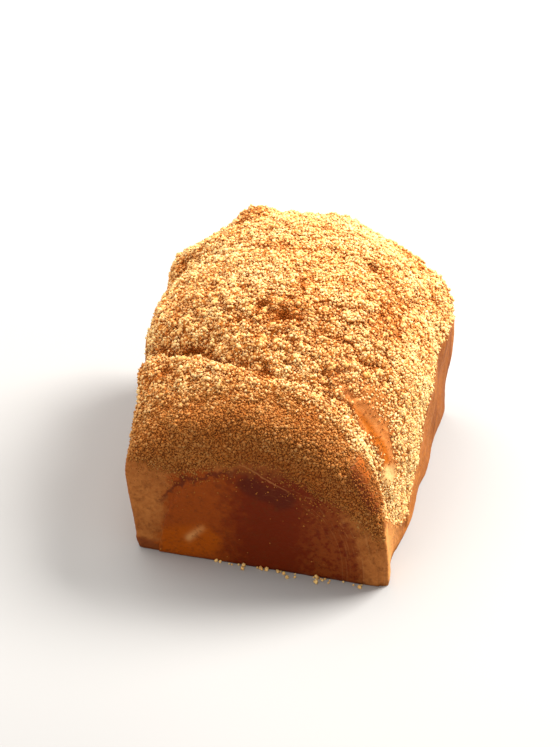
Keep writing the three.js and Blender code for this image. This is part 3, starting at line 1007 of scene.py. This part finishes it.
def make_lumps(surface, seed):
    """Larger clumps, each of a few grains baked together."""
    rng = np.random.default_rng(seed)

    def weights(sampler):
        behind = mix(FRONT_LUMP_SHARE, 1, smooth_step(sampler.middle[:, 1], *FRONT_LUMP_RUN))
        golden = (sampler.cover * (1 - sampler.brown)) ** LUMP_POWER
        return behind * golden * np.exp(LUMP_GAP_PULL * sampler.depth)

    sampler = Sampler(surface, weights)
    spots, chosen = sampler.draw(rng, LUMPS_DRAWN)
    kept = spread_out(spots, np.full(len(spots), LUMP_SPACING), LUMP_COUNT)
    spots, normals, count = spots[kept], sampler.outer_normals[chosen[kept]], len(kept)
    sizes = random_sizes(rng, *LUMP_SIZES, count)
    offsets = rng.normal(size=(count, LUMP_GRAINS, 3))
    offsets /= np.linalg.norm(offsets, axis=2, keepdims=True)
    offsets *= rng.uniform(*LUMP_SPREAD, (count, LUMP_GRAINS, 1)) * sizes[:, None, None]
    upward = np.einsum("nkj,nj->nk", offsets, normals)
    offsets -= LUMP_FLATNESS * upward[..., None] * normals[:, None]
    centres = spots[:, None] + offsets + (LUMP_RISE * sizes)[:, None, None] * normals[:, None]
    grain_sizes = sizes[:, None] * rng.uniform(*LUMP_GRAIN_SHARES, (count, LUMP_GRAINS))
    flat_centres, flat_sizes = centres.reshape(-1, 3), grain_sizes.ravel()
    points, faces, grain = uneven_grains(rng, ball_mesh(), flat_centres, flat_sizes)
    tones = mix(rng.random((count, 1)), rng.random((count, LUMP_GRAINS)), LUMP_TONE_SPREAD)
    lump = grain // LUMP_GRAINS
    # Painted shade: a lump's grains are darker low down and paler at its top
    height = np.sum((points - spots[lump]) * normals[lump], axis=1) / sizes[lump]
    piece = new_piece("crumble_lumps", points, faces)
    set_values(
        piece,
        grain_tone=tones.ravel()[grain],
        toast=toasted_zone(spots)[lump],
        depth=np.clip(LUMP_DEPTH - LUMP_SHADE * height, 0, DEEPEST_LUMP),
        brown=sampler.brown[chosen[kept]][lump],
    )
    return piece


DUST_COUNT = 4500
DUST_SIZES = (0.4, 0.9)
DUST_LIFT = 0.15  # how far a grain's middle lies over the bread, as a share of its size
DUST_CLEARANCE = 0.6  # least height of its middle over the floor, as such a share
DUST_FALL, DUST_FALL_POWER = 2.6, 1.4  # how fast it thins out down the near end
EDGE_DUST, THIN_DUST, STRAY_DUST, RIM_DUST = 2.4, 0.45, 0.0014, 0.35
STRIP_SOFTNESS, BARE_SHARE = 3.0, 0.7  # the bare strip and the pale patch have less dust
# the dust's depth, a small share of painted shade in its colour
DUST_DEPTH = 0.3


def make_dust(surface, seed):
    """Fine grains that thin out down the near end and along the crumble's edge."""
    rng = np.random.default_rng(seed)

    def weights(sampler):
        down = np.maximum(sampler.below / DUST_LENGTH, 0) ** DUST_FALL_POWER
        weight = EDGE_DUST * sampler.cover * (1 - sampler.cover)
        weight += THIN_DUST * sampler.near * (1 - sampler.cover) * np.exp(-DUST_FALL * down)
        weight += STRAY_DUST * sampler.near + RIM_DUST * bare_rim(sampler.middle)
        strip = on_strip(sampler.middle, sampler.outer_normals, STRIP_SOFTNESS)
        patch = soft_ball(sampler.middle, *PALE_PATCH)
        return weight * (1 - BARE_SHARE * strip) * (1 - BARE_SHARE * patch)

    sampler = Sampler(surface, weights)
    spots, chosen = sampler.draw(rng, DUST_COUNT)
    sizes = random_sizes(rng, *DUST_SIZES, DUST_COUNT)
    centres = spots + sampler.normals[chosen] * (DUST_LIFT * sizes)[:, None]
    centres[:, 2] = np.maximum(centres[:, 2], DUST_CLEARANCE * sizes)
    points, faces, grain = uneven_grains(rng, block_mesh(), centres, sizes)
    rim = bare_rim(spots)
    piece = new_piece("crumble_dust", points, faces)
    set_values(
        piece,
        grain_tone=rng.random(DUST_COUNT)[grain],
        toast=toasted_zone(spots)[grain],
        depth=np.full(len(grain), DUST_DEPTH),
        # dust on the near end takes on the near brow's brown, partly painted shade
        brown=np.maximum(sampler.near[chosen], rim)[grain],
        reddish=rim[grain],
    )
    return piece


FALLEN_COUNT = 34
FALLEN_SIZES = (0.7, 1.8)
FALLEN_RUN = (-24, 40)  # along the foot of the near end
FALLEN_GAP, FALLEN_SPREAD = 0.4, 3.4  # distance from the foot: the least, and how much more
FALLEN_POWER = 3  # most of them lie close to it
FALLEN_LIFT = 0.4  # height of a crumb's middle, as a share of its size
# the fallen crumbs' toast, and the share of painted shade in their colour
FALLEN_TOAST, FALLEN_DEPTH = -0.3, 0.2


def make_fallen(seed):
    """Crumbs that lie on the surface along the foot of the near end."""
    rng = np.random.default_rng(seed)
    sizes = random_sizes(rng, *FALLEN_SIZES, FALLEN_COUNT)
    x = rng.uniform(*FALLEN_RUN, FALLEN_COUNT)
    y = -FALLEN_GAP - FALLEN_SPREAD * rng.random(FALLEN_COUNT) ** FALLEN_POWER
    centres = np.stack([x, y, FALLEN_LIFT * sizes], axis=1)
    points, faces, grain = uneven_grains(rng, ball_mesh(), centres, sizes)
    points[:, 2] = np.maximum(points[:, 2], 0)
    piece = new_piece("fallen_crumbs", points, faces)
    set_values(
        piece,
        grain_tone=rng.random(FALLEN_COUNT)[grain],
        toast=np.full(len(grain), FALLEN_TOAST),
        depth=np.full(len(grain), FALLEN_DEPTH),
        brown=np.zeros(len(grain)),
    )
    return piece


# ---------------------------------------------------------------- materials


def linear(red, green, blue):
    """A colour as the eye reads it, 0 to 255, for a shader's socket."""
    shares = np.array([red, green, blue]) / 255
    straight = np.where(shares <= 0.04045, shares / 12.92, ((shares + 0.055) / 1.055) ** 2.4)
    return (*straight.tolist(), 1.0)


class Nodes:
    """Short ways to add and join the nodes of one tree."""

    def __init__(self, tree):
        self.tree = tree

    def add(self, kind, **settings):
        node = self.tree.nodes.new(kind)
        for name, value in settings.items():
            setattr(node, name, value)
        return node

    def feed(self, socket, value):
        if isinstance(value, bpy.types.NodeSocket):
            self.tree.links.new(value, socket)
        else:
            socket.default_value = value

    def attribute(self, name):
        return self.add("ShaderNodeAttribute", attribute_name=name).outputs["Fac"]

    def place(self):
        return self.add("ShaderNodeTexCoord").outputs["Object"]

    def noise(self, place, scale, detail=3.0, roughness=0.55, distortion=0.0):
        node = self.add("ShaderNodeTexNoise")
        self.feed(node.inputs["Vector"], place)
        self.feed(node.inputs["Scale"], scale)
        node.inputs["Detail"].default_value = detail
        node.inputs["Roughness"].default_value = roughness
        node.inputs["Distortion"].default_value = distortion
        return node.outputs["Fac"]

    def cells(self, place, scale):
        node = self.add("ShaderNodeTexVoronoi")
        self.feed(node.inputs["Vector"], place)
        self.feed(node.inputs["Scale"], scale)
        return node.outputs["Distance"]

    def math(self, operation, a, b=0.0, clamp=False):
        node = self.add("ShaderNodeMath", operation=operation, use_clamp=clamp)
        self.feed(node.inputs[0], a)
        self.feed(node.inputs[1], b)
        return node.outputs[0]

    def times(self, a, b):
        return self.math("MULTIPLY", a, b)

    def plus(self, a, b):
        return self.math("ADD", a, b)

    def steps(self, value, start, end, low=0.0, high=1.0):
        """A soft ramp of value from start to end, onto low to high."""
        node = self.add("ShaderNodeMapRange", interpolation_type="SMOOTHSTEP")
        for socket, number in zip(node.inputs, (value, start, end, low, high)):
            self.feed(socket, number)
        return node.outputs["Result"]

    def mix(self, share, a, b):
        node = self.add("ShaderNodeMix", data_type="RGBA")
        sockets = [socket for socket in node.inputs if socket.enabled]
        for socket, value in zip(sockets, (share, a, b)):
            self.feed(socket, value)
        return next(socket for socket in node.outputs if socket.enabled)

    def paint(self, colour, zone, over, strength=1.0):
        """The colour, with another one over it where the named zone is high."""
        share = self.attribute(zone)
        if strength < 1:
            share = self.times(share, strength)
        return self.mix(share, colour, over)

    def group(self, group, values):
        node = self.add("ShaderNodeGroup", node_tree=group)
        for name, value in values.items():
            self.feed(node.inputs[name], value)
        return node

    def bump(self, height, strength, distance, normal=None):
        node = self.add("ShaderNodeBump")
        node.inputs["Strength"].default_value = strength
        node.inputs["Distance"].default_value = distance
        self.feed(node.inputs["Height"], height)
        if normal is not None:
            self.feed(node.inputs["Normal"], normal)
        return node.outputs["Normal"]


def new_group(name, inputs, outputs):
    """An empty shader node group with named inputs and outputs."""
    group = bpy.data.node_groups.new(name, "ShaderNodeTree")
    for label, kind, value in inputs:
        socket = group.interface.new_socket(label, in_out="INPUT", socket_type=kind)
        if value is not None:
            socket.default_value = value
    for label, kind in outputs:
        group.interface.new_socket(label, in_out="OUTPUT", socket_type=kind)
    nodes = Nodes(group)
    return group, nodes, nodes.add("NodeGroupInput").outputs, nodes.add("NodeGroupOutput").inputs


FLOAT, COLOUR, VECTOR = "NodeSocketFloat", "NodeSocketColor", "NodeSocketVector"
BROAD_SCALE = 0.35  # scale of the broad noise, as a share of the fine one's
BROAD_IN_SPECKS, BROAD_IN_HEIGHT = 0.5, 0.6

# Noise of the materials: scale (hills in a metre), detail, roughness and distortion
TEXTURES = {
    "browning": (62, 3, 0.6, 0.4),
    "mottle": (420, 4, 0.65),
    "ragged": (300, 4, 0.6),
    "streaks": (190, 3),
    "strokes": (1, 3, 0.65, 0.6),
    "drift": (380, 2),
    "cloud": (3, 2),
}
# Ramps of the materials: the value at each end, and where not 0 and 1, what they give there
RAMPS = {
    "specks": (0.72, 1.0),
    "browning": (0.36, 0.66),
    "mottle": (0.34, 0.7),
    "streaks": (0.4, 0.62, 0.35, 0.85),
    "deep": (0.15, 0.6),
    "arch": (2.8, -2.8),
    "arch_dark": (-24, -6),
    "arch_right": (10, 24),
    "arch_mottle": (0.3, 0.9),
    "dark_line": (2.6, 0.4, 0, 0.75),
    "strokes": (0.54, 0.7),
    "strokes_inside": (-20, -2),
    "strokes_above": (12, 5),
    "strokes_across": (-6, 10, 0, 0.7),
    "streak": (0.5, 0.15, 0, 0.8),
    "streak_left": (-15, -10),
    "streak_right": (12, 4),
    "roughness": (0, 1, 0.7, 0.45),
    "grain_shade": (0.3, 1, 0, 0.85),
    "burnt": (1.1, 2.6),
    "cloud": (0.3, 0.7),
}


def baked_grain_group():
    """Browned specks and a fine grainy relief, as on anything baked from flour."""
    inputs = (
        ("Place", VECTOR, None),
        ("Colour", COLOUR, (0.5, 0.5, 0.5, 1)),
        ("Speck colour", COLOUR, (0.2, 0.1, 0.05, 1)),
        ("Speck size", FLOAT, 1.0),
        ("Speck amount", FLOAT, 0.5),
    )
    outputs = (("Colour", COLOUR), ("Height", FLOAT))
    group, nodes, given, result = new_group("baked_grain", inputs, outputs)
    scale = nodes.math("DIVIDE", 1 / MM, given["Speck size"])
    broad = nodes.noise(given["Place"], nodes.times(scale, BROAD_SCALE), detail=2)
    fine = nodes.noise(given["Place"], scale, detail=4, roughness=0.65)
    specks = nodes.steps(nodes.plus(nodes.times(broad, BROAD_IN_SPECKS), fine), *RAMPS["specks"])
    amount = nodes.math("MULTIPLY", specks, given["Speck amount"], clamp=True)
    nodes.feed(result["Colour"], nodes.mix(amount, given["Colour"], given["Speck colour"]))
    nodes.feed(result["Height"], nodes.plus(fine, nodes.times(broad, BROAD_IN_HEIGHT)))
    return group


BAKED_GRAIN = baked_grain_group()

WALL_PALE = linear(194, 121, 54)
WALL_BROWN = linear(158, 90, 36)
# darker wall colour: below the crumble, painted shade in the upright crease, and far back
WALL_EDGE_BROWN = linear(124, 66, 26)
END_PALE = linear(178, 110, 54)
END_BROWN = linear(144, 80, 34)
# the skin under the near brow's brown crumbs, deeper in the gaps: partly painted shade
BROWN_PALE = linear(126, 70, 26)
BROWN_DEEP = linear(84, 38, 8)
RED_BROWN = linear(116, 50, 16)
ARCH_ORANGE = linear(142, 64, 16)
ARCH_LOW_ORANGE = linear(160, 74, 8)
ARCH_DARK = linear(104, 33, 8)
ARCH_SPECKLED = linear(126, 58, 20)
ARCH_PURPLE = linear(80, 27, 14)
BLEMISH_CREAM = linear(214, 156, 96)
RIM_RED = linear(98, 41, 14)
RIM_ORANGE = linear(180, 92, 26)
STRIP_PINK = linear(222, 141, 76)
STRIP_ORANGE = linear(195, 104, 28)
CORNER_HIGHLIGHT_PEACH = linear(230, 158, 88)
PATCH_CREAM = linear(248, 208, 138)
SPOT_ORANGE = linear(226, 146, 66)
UNDER_CRUMBLE = linear(210, 134, 58)
# painted shade in the gaps between the clumps, with some toasting
GAP_SHADE_BROWN = linear(164, 90, 28)
FOOT_BROWN = linear(122, 58, 26)
SPECK_BROWN = linear(96, 44, 16)
MARK_PALE = linear(200, 134, 78)


UPRIGHT_STRETCH = (1.0, 1.0, 0.12)  # draws the wall's streaks out upwards
RAGGED_EDGE = 12.0  # mm, from the lowest to the highest value of the ragged noise
ACROSS_EDGE, STREAK_EDGE = 2.0, 0.2  # shares of it, for the arch's colours and the thin line
STROKE_SCALE, STROKE_SCALE_ACROSS = 0.9, 0.2  # hills in a mm, away from the rim and along it
PATCH_SHARE, MOTTLE_SHARE = 0.55, 0.45  # of the crust's browning
STRIP_MOTTLE = 0.4  # share of the mottle that shows on the bare strip
MARK_STRENGTH = 0.45
SPECKS_ON_CRUST = {"Speck colour": SPECK_BROWN, "Speck size": 1.3}
SPECK_AMOUNT = 0.5
CRUST_CELLS = 560  # pores in a metre


def bread_colour(nodes, place, mottle, browning, ragged):
    """The crust's colour from its zones. ragged is a number in mm that breaks up their edges."""
    wall = nodes.mix(browning, WALL_PALE, WALL_BROWN)
    # painted shade in the right wall's crease, with the band below the crumble and the browner far
    # wall, broken by streaks
    creases = nodes.times(nodes.attribute("crease"), wall_streaks(nodes, place))
    wall = nodes.mix(creases, wall, WALL_EDGE_BROWN)
    end = nodes.mix(browning, END_PALE, END_BROWN)
    end = nodes.paint(end, "foot", FOOT_BROWN, strength=0.8)
    end = nodes.paint(end, "reddish", RED_BROWN, strength=0.7)
    end = nodes.mix(arch_edge(nodes, ragged), end, arch_colour(nodes, mottle, ragged))
    end = nodes.paint(end, "blemish", BLEMISH_CREAM, strength=0.7)
    marks = nodes.times(stretch_marks(nodes, ragged), MARK_STRENGTH)
    end = nodes.mix(marks, end, MARK_PALE)
    colour = nodes.paint(wall, "near_end", end)
    # painted highlight on the right wall beside the near corner
    colour = nodes.paint(colour, "corner", CORNER_HIGHLIGHT_PEACH, strength=0.85)

    rim = nodes.paint(RIM_RED, "rim_orange", RIM_ORANGE)
    colour = nodes.paint(colour, "bare_rim", rim, strength=0.9)
    strip = nodes.mix(nodes.times(mottle, STRIP_MOTTLE), STRIP_PINK, STRIP_ORANGE)
    strip = nodes.paint(strip, "strip_depth", STRIP_ORANGE)
    colour = nodes.paint(colour, "strip", strip)
    colour = nodes.paint(colour, "pale_patch", PATCH_CREAM, strength=0.85)
    colour = nodes.paint(colour, "orange_spot", SPOT_ORANGE)
    return nodes.paint(colour, "crumbed", under_crumble(nodes))


def under_crumble(nodes):
    """The colour of the bread between the grains, deeper in the gaps: partly toasting, partly painted
    shade.
    """
    deep = nodes.steps(nodes.attribute("depth"), *RAMPS["deep"])
    brown = nodes.mix(deep, BROWN_PALE, BROWN_DEEP)
    under = nodes.paint(nodes.mix(deep, UNDER_CRUMBLE, GAP_SHADE_BROWN), "brown", brown)
    under = nodes.paint(under, "reddish", RED_BROWN, strength=0.5)
    return nodes.paint(under, "beside_strip", STRIP_PINK, strength=0.8)


def wall_streaks(nodes, place):
    """Upright streaks that break up the browner parts of the walls."""
    upright = nodes.add("ShaderNodeVectorMath", operation="MULTIPLY")
    nodes.feed(upright.inputs[0], place)
    nodes.feed(upright.inputs[1], UPRIGHT_STRETCH)
    return nodes.steps(nodes.noise(upright.outputs[0], *TEXTURES["streaks"]), *RAMPS["streaks"])


def arch_edge(nodes, ragged):
    """1 inside the near end's dark arch, with an uneven edge."""
    return nodes.steps(nodes.plus(nodes.attribute("outside_arch"), ragged), *RAMPS["arch"])


def arch_colour(nodes, mottle, ragged):
    """Orange at the left of the arch, dark in its middle and speckled at its right."""
    across = nodes.plus(nodes.attribute("across"), nodes.times(ragged, ACROSS_EDGE))
    arch = nodes.mix(nodes.steps(across, *RAMPS["arch_dark"]), ARCH_ORANGE, ARCH_DARK)
    speckled = nodes.mix(nodes.steps(mottle, *RAMPS["arch_mottle"]), ARCH_SPECKLED, ARCH_DARK)
    arch = nodes.mix(nodes.steps(across, *RAMPS["arch_right"]), arch, speckled)
    arch = nodes.paint(arch, "low_orange", ARCH_LOW_ORANGE)
    off_line = nodes.math("ABSOLUTE", nodes.plus(nodes.attribute("over_dark_line"), ragged))
    arch = nodes.mix(nodes.steps(off_line, *RAMPS["dark_line"]), arch, ARCH_PURPLE)
    return nodes.paint(arch, "dark_patch", ARCH_PURPLE, strength=0.8)


def stretch_marks(nodes, ragged):
    """A thin pale line over the arch and short pale strokes that follow its upper right rim."""
    rim = nodes.attribute("outside_arch")
    across = nodes.attribute("across")
    joined = nodes.add("ShaderNodeCombineXYZ")
    nodes.feed(joined.inputs[0], nodes.times(rim, STROKE_SCALE))
    nodes.feed(joined.inputs[1], nodes.times(across, STROKE_SCALE_ACROSS))
    strokes = nodes.steps(nodes.noise(joined.outputs[0], *TEXTURES["strokes"]), *RAMPS["strokes"])
    inside = nodes.steps(rim, *RAMPS["strokes_inside"])
    above = nodes.steps(rim, *RAMPS["strokes_above"])
    where = nodes.times(nodes.times(inside, above), nodes.steps(across, *RAMPS["strokes_across"]))
    over_line = nodes.plus(nodes.attribute("over_streak"), nodes.times(ragged, STREAK_EDGE))
    line = nodes.steps(nodes.math("ABSOLUTE", over_line), *RAMPS["streak"])
    starts = nodes.steps(across, *RAMPS["streak_left"])
    ends = nodes.steps(across, *RAMPS["streak_right"])
    line = nodes.times(line, nodes.times(starts, ends))
    return nodes.math("MAXIMUM", nodes.times(strokes, where), line)


def new_material(name):
    material = bpy.data.materials.new(name)
    material.use_nodes = True
    return material, Nodes(material.node_tree), material.node_tree.nodes["Principled BSDF"].inputs


def set_finish(shader, finish):
    """Plain values on the shader's own sockets."""
    for name, value in finish.items():
        shader[name].default_value = value


CRUST_FINISH = {
    "Specular IOR Level": 0.06,
    "Subsurface Weight": 0.04,
    "Subsurface Radius": (0.003, 0.0012, 0.0004),
    "Subsurface Scale": 1.0,
}


def bread_material():
    material, nodes, shader = new_material("baked_crust")
    place = nodes.place()
    patches = nodes.steps(nodes.noise(place, *TEXTURES["browning"]), *RAMPS["browning"])
    mottle = nodes.steps(nodes.noise(place, *TEXTURES["mottle"]), *RAMPS["mottle"])
    browning = nodes.plus(nodes.times(patches, PATCH_SHARE), nodes.times(mottle, MOTTLE_SHARE))
    ragged = nodes.math("SUBTRACT", nodes.noise(place, *TEXTURES["ragged"]), 0.5)
    ragged = nodes.times(ragged, RAGGED_EDGE)
    gloss = nodes.math("MAXIMUM", nodes.attribute("strip"), nodes.attribute("bare_rim"))
    plain = nodes.math("SUBTRACT", 1.0, gloss)
    grain = nodes.group(BAKED_GRAIN, {
        "Place": place,
        "Colour": bread_colour(nodes, place, mottle, browning, ragged),
        "Speck amount": nodes.times(plain, SPECK_AMOUNT),
        **SPECKS_ON_CRUST,
    })
    nodes.feed(shader["Base Color"], grain.outputs["Colour"])
    arch = nodes.times(arch_edge(nodes, ragged), nodes.attribute("near_end"))
    gloss = nodes.math("MAXIMUM", gloss, arch)
    nodes.feed(shader["Roughness"], nodes.steps(gloss, *RAMPS["roughness"]))
    set_finish(shader, CRUST_FINISH)
    normal = nodes.bump(grain.outputs["Height"], strength=0.6, distance=0.0005)
    cells = nodes.cells(place, CRUST_CELLS)
    normal = nodes.bump(cells, strength=0.35, distance=0.0004, normal=normal)
    marks = stretch_marks(nodes, ragged)
    normal = nodes.bump(marks, strength=0.5, distance=0.0004, normal=normal)
    nodes.feed(shader["Normal"], normal)
    return material


# Tones of each kind of crumble: pale, deep, and how much of the near end's brown, partly painted
# shade, it takes on
CRUMBLE_TONES = {
    "crumble_golden": (linear(252, 212, 144), linear(242, 178, 104), 0.75),
    "crumble_pale": (linear(255, 226, 164), linear(252, 208, 138), 0.75),
    "crumble_toasted": (linear(240, 174, 98), linear(206, 122, 54), 0.5),
    "crumble_brown": (linear(200, 141, 76), linear(142, 88, 39), 0.15),
    "crumble_lumps": (linear(254, 212, 138), linear(244, 176, 96), 0.8),
    "crumble_dust": (linear(228, 162, 92), linear(168, 98, 44), 0.65),
    "fallen_crumbs": (linear(252, 214, 140), linear(232, 168, 92), 0.0),
}
BURNT = linear(156, 72, 12)
SHADED_BROWN = linear(138, 86, 36)
# painted shade of grains deep in the gaps
GAP_SHADE_GRAIN = linear(182, 104, 40)
# How far each of these turns a grain from its pale tone to its deep one; depth is painted shade, deep
# in the gaps and at a grain's foot
TONE_SHARES = {"grain_tone": 0.6, "toast": 0.4, "depth": 0.3}
DRIFT_SHARE = 0.8
BURNT_STRENGTH = 0.8
# the near brow's brown zone adds this much painted gap shade to the grains
BROWN_IN_DEPTH = 0.3
SPECKS_ON_GRAINS = {"Speck colour": BURNT, "Speck size": 0.55, "Speck amount": 0.45}
CRUMBLE_FINISH = {
    "Roughness": 0.8,
    "Specular IOR Level": 0.05,
    "Subsurface Weight": 0.05,
    "Subsurface Radius": (0.0012, 0.0006, 0.0002),
    "Subsurface Scale": 1.0,
}


def crumble_material(name):
    """Baked crumble between a pale and a deep tone, with burnt specks."""
    pale, deep, brown_pull = CRUMBLE_TONES[name]
    material, nodes, shader = new_material(name)
    place = nodes.place()
    drift = nodes.math("SUBTRACT", nodes.noise(place, *TEXTURES["drift"]), 0.5)
    tone = nodes.times(drift, DRIFT_SHARE)
    for zone, share in TONE_SHARES.items():
        tone = nodes.plus(tone, nodes.times(nodes.attribute(zone), share))
    colour = nodes.mix(tone, pale, deep)
    # painted shade on the near brow's crumbs, with their own browner tone
    colour = nodes.paint(colour, "brown", SHADED_BROWN, strength=brown_pull)
    colour = nodes.paint(colour, "reddish", RED_BROWN, strength=0.4)
    # painted shade: grains deep in the gaps and in the near brow's brown zone turn darker
    low = nodes.plus(nodes.attribute("depth"), nodes.times(nodes.attribute("brown"), BROWN_IN_DEPTH))
    colour = nodes.mix(nodes.steps(low, *RAMPS["grain_shade"]), colour, GAP_SHADE_GRAIN)
    # charred where toasted, with the painted gap shade adding to it
    charred = nodes.plus(nodes.attribute("toast"), nodes.attribute("depth"))
    charred = nodes.times(nodes.steps(charred, *RAMPS["burnt"]), BURNT_STRENGTH)
    grain = nodes.group(BAKED_GRAIN, {
        "Place": place,
        "Colour": nodes.mix(charred, colour, BURNT),
        **SPECKS_ON_GRAINS,
    })
    nodes.feed(shader["Base Color"], grain.outputs["Colour"])
    set_finish(shader, CRUMBLE_FINISH)
    nodes.feed(shader["Normal"], nodes.bump(grain.outputs["Height"], strength=0.6, distance=0.0002))
    return material


# ---------------------------------------------------------------- surroundings

PHOTO_WIDTH, PHOTO_HEIGHT = 560, 747
CAMERA_ELEVATION = math.radians(33)
CAMERA_YAW = math.radians(8.6)
CAMERA_ROLL = math.radians(4.36)
FOCAL_PIXELS = 5000
PIXELS_PER_MM = 2.58
FOOT_PIXEL = (262.5, 568.6)  # where the middle of the near foot shows
SENSOR = 36
CLIP_END = 20


def make_camera():
    back = np.array([
        math.sin(CAMERA_YAW) * math.cos(CAMERA_ELEVATION),
        -math.cos(CAMERA_YAW) * math.cos(CAMERA_ELEVATION),
        math.sin(CAMERA_ELEVATION),
    ])
    level = np.cross(-back, (0, 0, 1))
    level /= np.linalg.norm(level)
    rise = np.cross(level, -back)
    right = level * math.cos(CAMERA_ROLL) + rise * math.sin(CAMERA_ROLL)
    up = rise * math.cos(CAMERA_ROLL) - level * math.sin(CAMERA_ROLL)
    distance = FOCAL_PIXELS / PIXELS_PER_MM
    aside = (FOOT_PIXEL[0] - PHOTO_WIDTH / 2) / PIXELS_PER_MM
    below = (FOOT_PIXEL[1] - PHOTO_HEIGHT / 2) / PIXELS_PER_MM
    position = (back * distance - right * aside + up * below - FORM_MIDDLE) * MM
    data = bpy.data.cameras.new("camera")
    data.sensor_width = SENSOR
    data.lens = FOCAL_PIXELS * SENSOR / PHOTO_HEIGHT
    data.clip_end = CLIP_END
    camera = bpy.data.objects.new("camera", data)
    turn = Matrix((right.tolist(), up.tolist(), back.tolist())).transposed().to_4x4()
    camera.matrix_world = Matrix.Translation(position.tolist()) @ turn
    bpy.context.scene.collection.objects.link(camera)
    bpy.context.scene.camera = camera


FLOOR_HALF = 3.0
FLOOR_GREYS = linear(168, 167, 166), linear(172, 171, 170)
FLOOR_FINISH = {"Roughness": 0.7, "Specular IOR Level": 0.2}


def make_floor():
    mesh = bpy.data.meshes.new("floor")
    corners = [(x * FLOOR_HALF, y * FLOOR_HALF, 0) for x, y in ((-1, -1), (1, -1), (1, 1), (-1, 1))]
    mesh.from_pydata(corners, [], [(0, 1, 2, 3)])
    floor = bpy.data.objects.new("floor", mesh)
    bpy.context.scene.collection.objects.link(floor)
    material, nodes, shader = new_material("pale_floor")
    cloud = nodes.steps(nodes.noise(nodes.place(), *TEXTURES["cloud"]), *RAMPS["cloud"])
    nodes.feed(shader["Base Color"], nodes.mix(cloud, *FLOOR_GREYS))
    set_finish(shader, FLOOR_FINISH)
    mesh.materials.append(material)


LIGHT_TARGET = (0, 0, 0.04)
# Square soft lights: azimuth and elevation (degrees), distance and size (m), power (W), colour.
# Azimuth 0 is beyond the far end, and 90 is at the right
LIGHTS = {
    "window": (46, 46, 1.0, 0.5, 22.5, (1.0, 0.97, 0.93)),
    "overhead": (-60, 62, 1.2, 1.2, 15, (1.0, 0.97, 0.93)),
    "bounce": (190, 25, 1.2, 1.2, 3.0, (1.0, 0.95, 0.88)),
}
STUDIO_COLOUR, STUDIO_STRENGTH = (1.0, 0.98, 0.95, 1), 0.55


def add_light(name, azimuth, elevation, distance, size, power, colour):
    """A square soft light that looks at the loaf."""
    data = bpy.data.lights.new(name, "AREA")
    data.shape = "SQUARE"
    data.size = size
    data.energy = power
    data.color = colour
    light = bpy.data.objects.new(name, data)
    turn = Matrix.Rotation(math.radians(-azimuth), 4, "Z")
    turn = turn @ Matrix.Rotation(math.radians(elevation), 4, "X")
    place = Matrix.Translation(LIGHT_TARGET) @ turn @ Matrix.Translation((0, distance, 0))
    light.matrix_world = place @ Matrix.Rotation(math.radians(-90), 4, "X")
    bpy.context.scene.collection.objects.link(light)


def light_scene():
    world = bpy.data.worlds.new("studio")
    world.use_nodes = True
    background = world.node_tree.nodes["Background"].inputs
    background["Color"].default_value = STUDIO_COLOUR
    background["Strength"].default_value = STUDIO_STRENGTH
    bpy.context.scene.world = world
    for name, light in LIGHTS.items():
        add_light(name, *light)


def set_view():
    view = bpy.context.scene.view_settings
    view.view_transform = "Standard"
    view.look = "None"
    view.exposure = 0.0


# ---------------------------------------------------------------- the loaf

GRAIN_SEED, LUMP_SEED, DUST_SEED, FALLEN_SEED = 100, 110, 111, 112


def dress_loaf():
    surface = bread_surface()
    bread = make_bread(surface)
    bread.data.materials.append(bread_material())
    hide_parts("loaf")
    kinds = enumerate(GRAIN_KINDS, GRAIN_SEED)
    crumbs = [make_grains(surface, name, seed) for seed, name in kinds]
    crumbs += [make_lumps(surface, LUMP_SEED), make_dust(surface, DUST_SEED)]
    crumbs += [make_fallen(FALLEN_SEED)]
    for piece in crumbs:
        piece.data.materials.append(crumble_material(piece.name))


make_camera()
dress_loaf()
make_floor()
light_scene()
set_view()
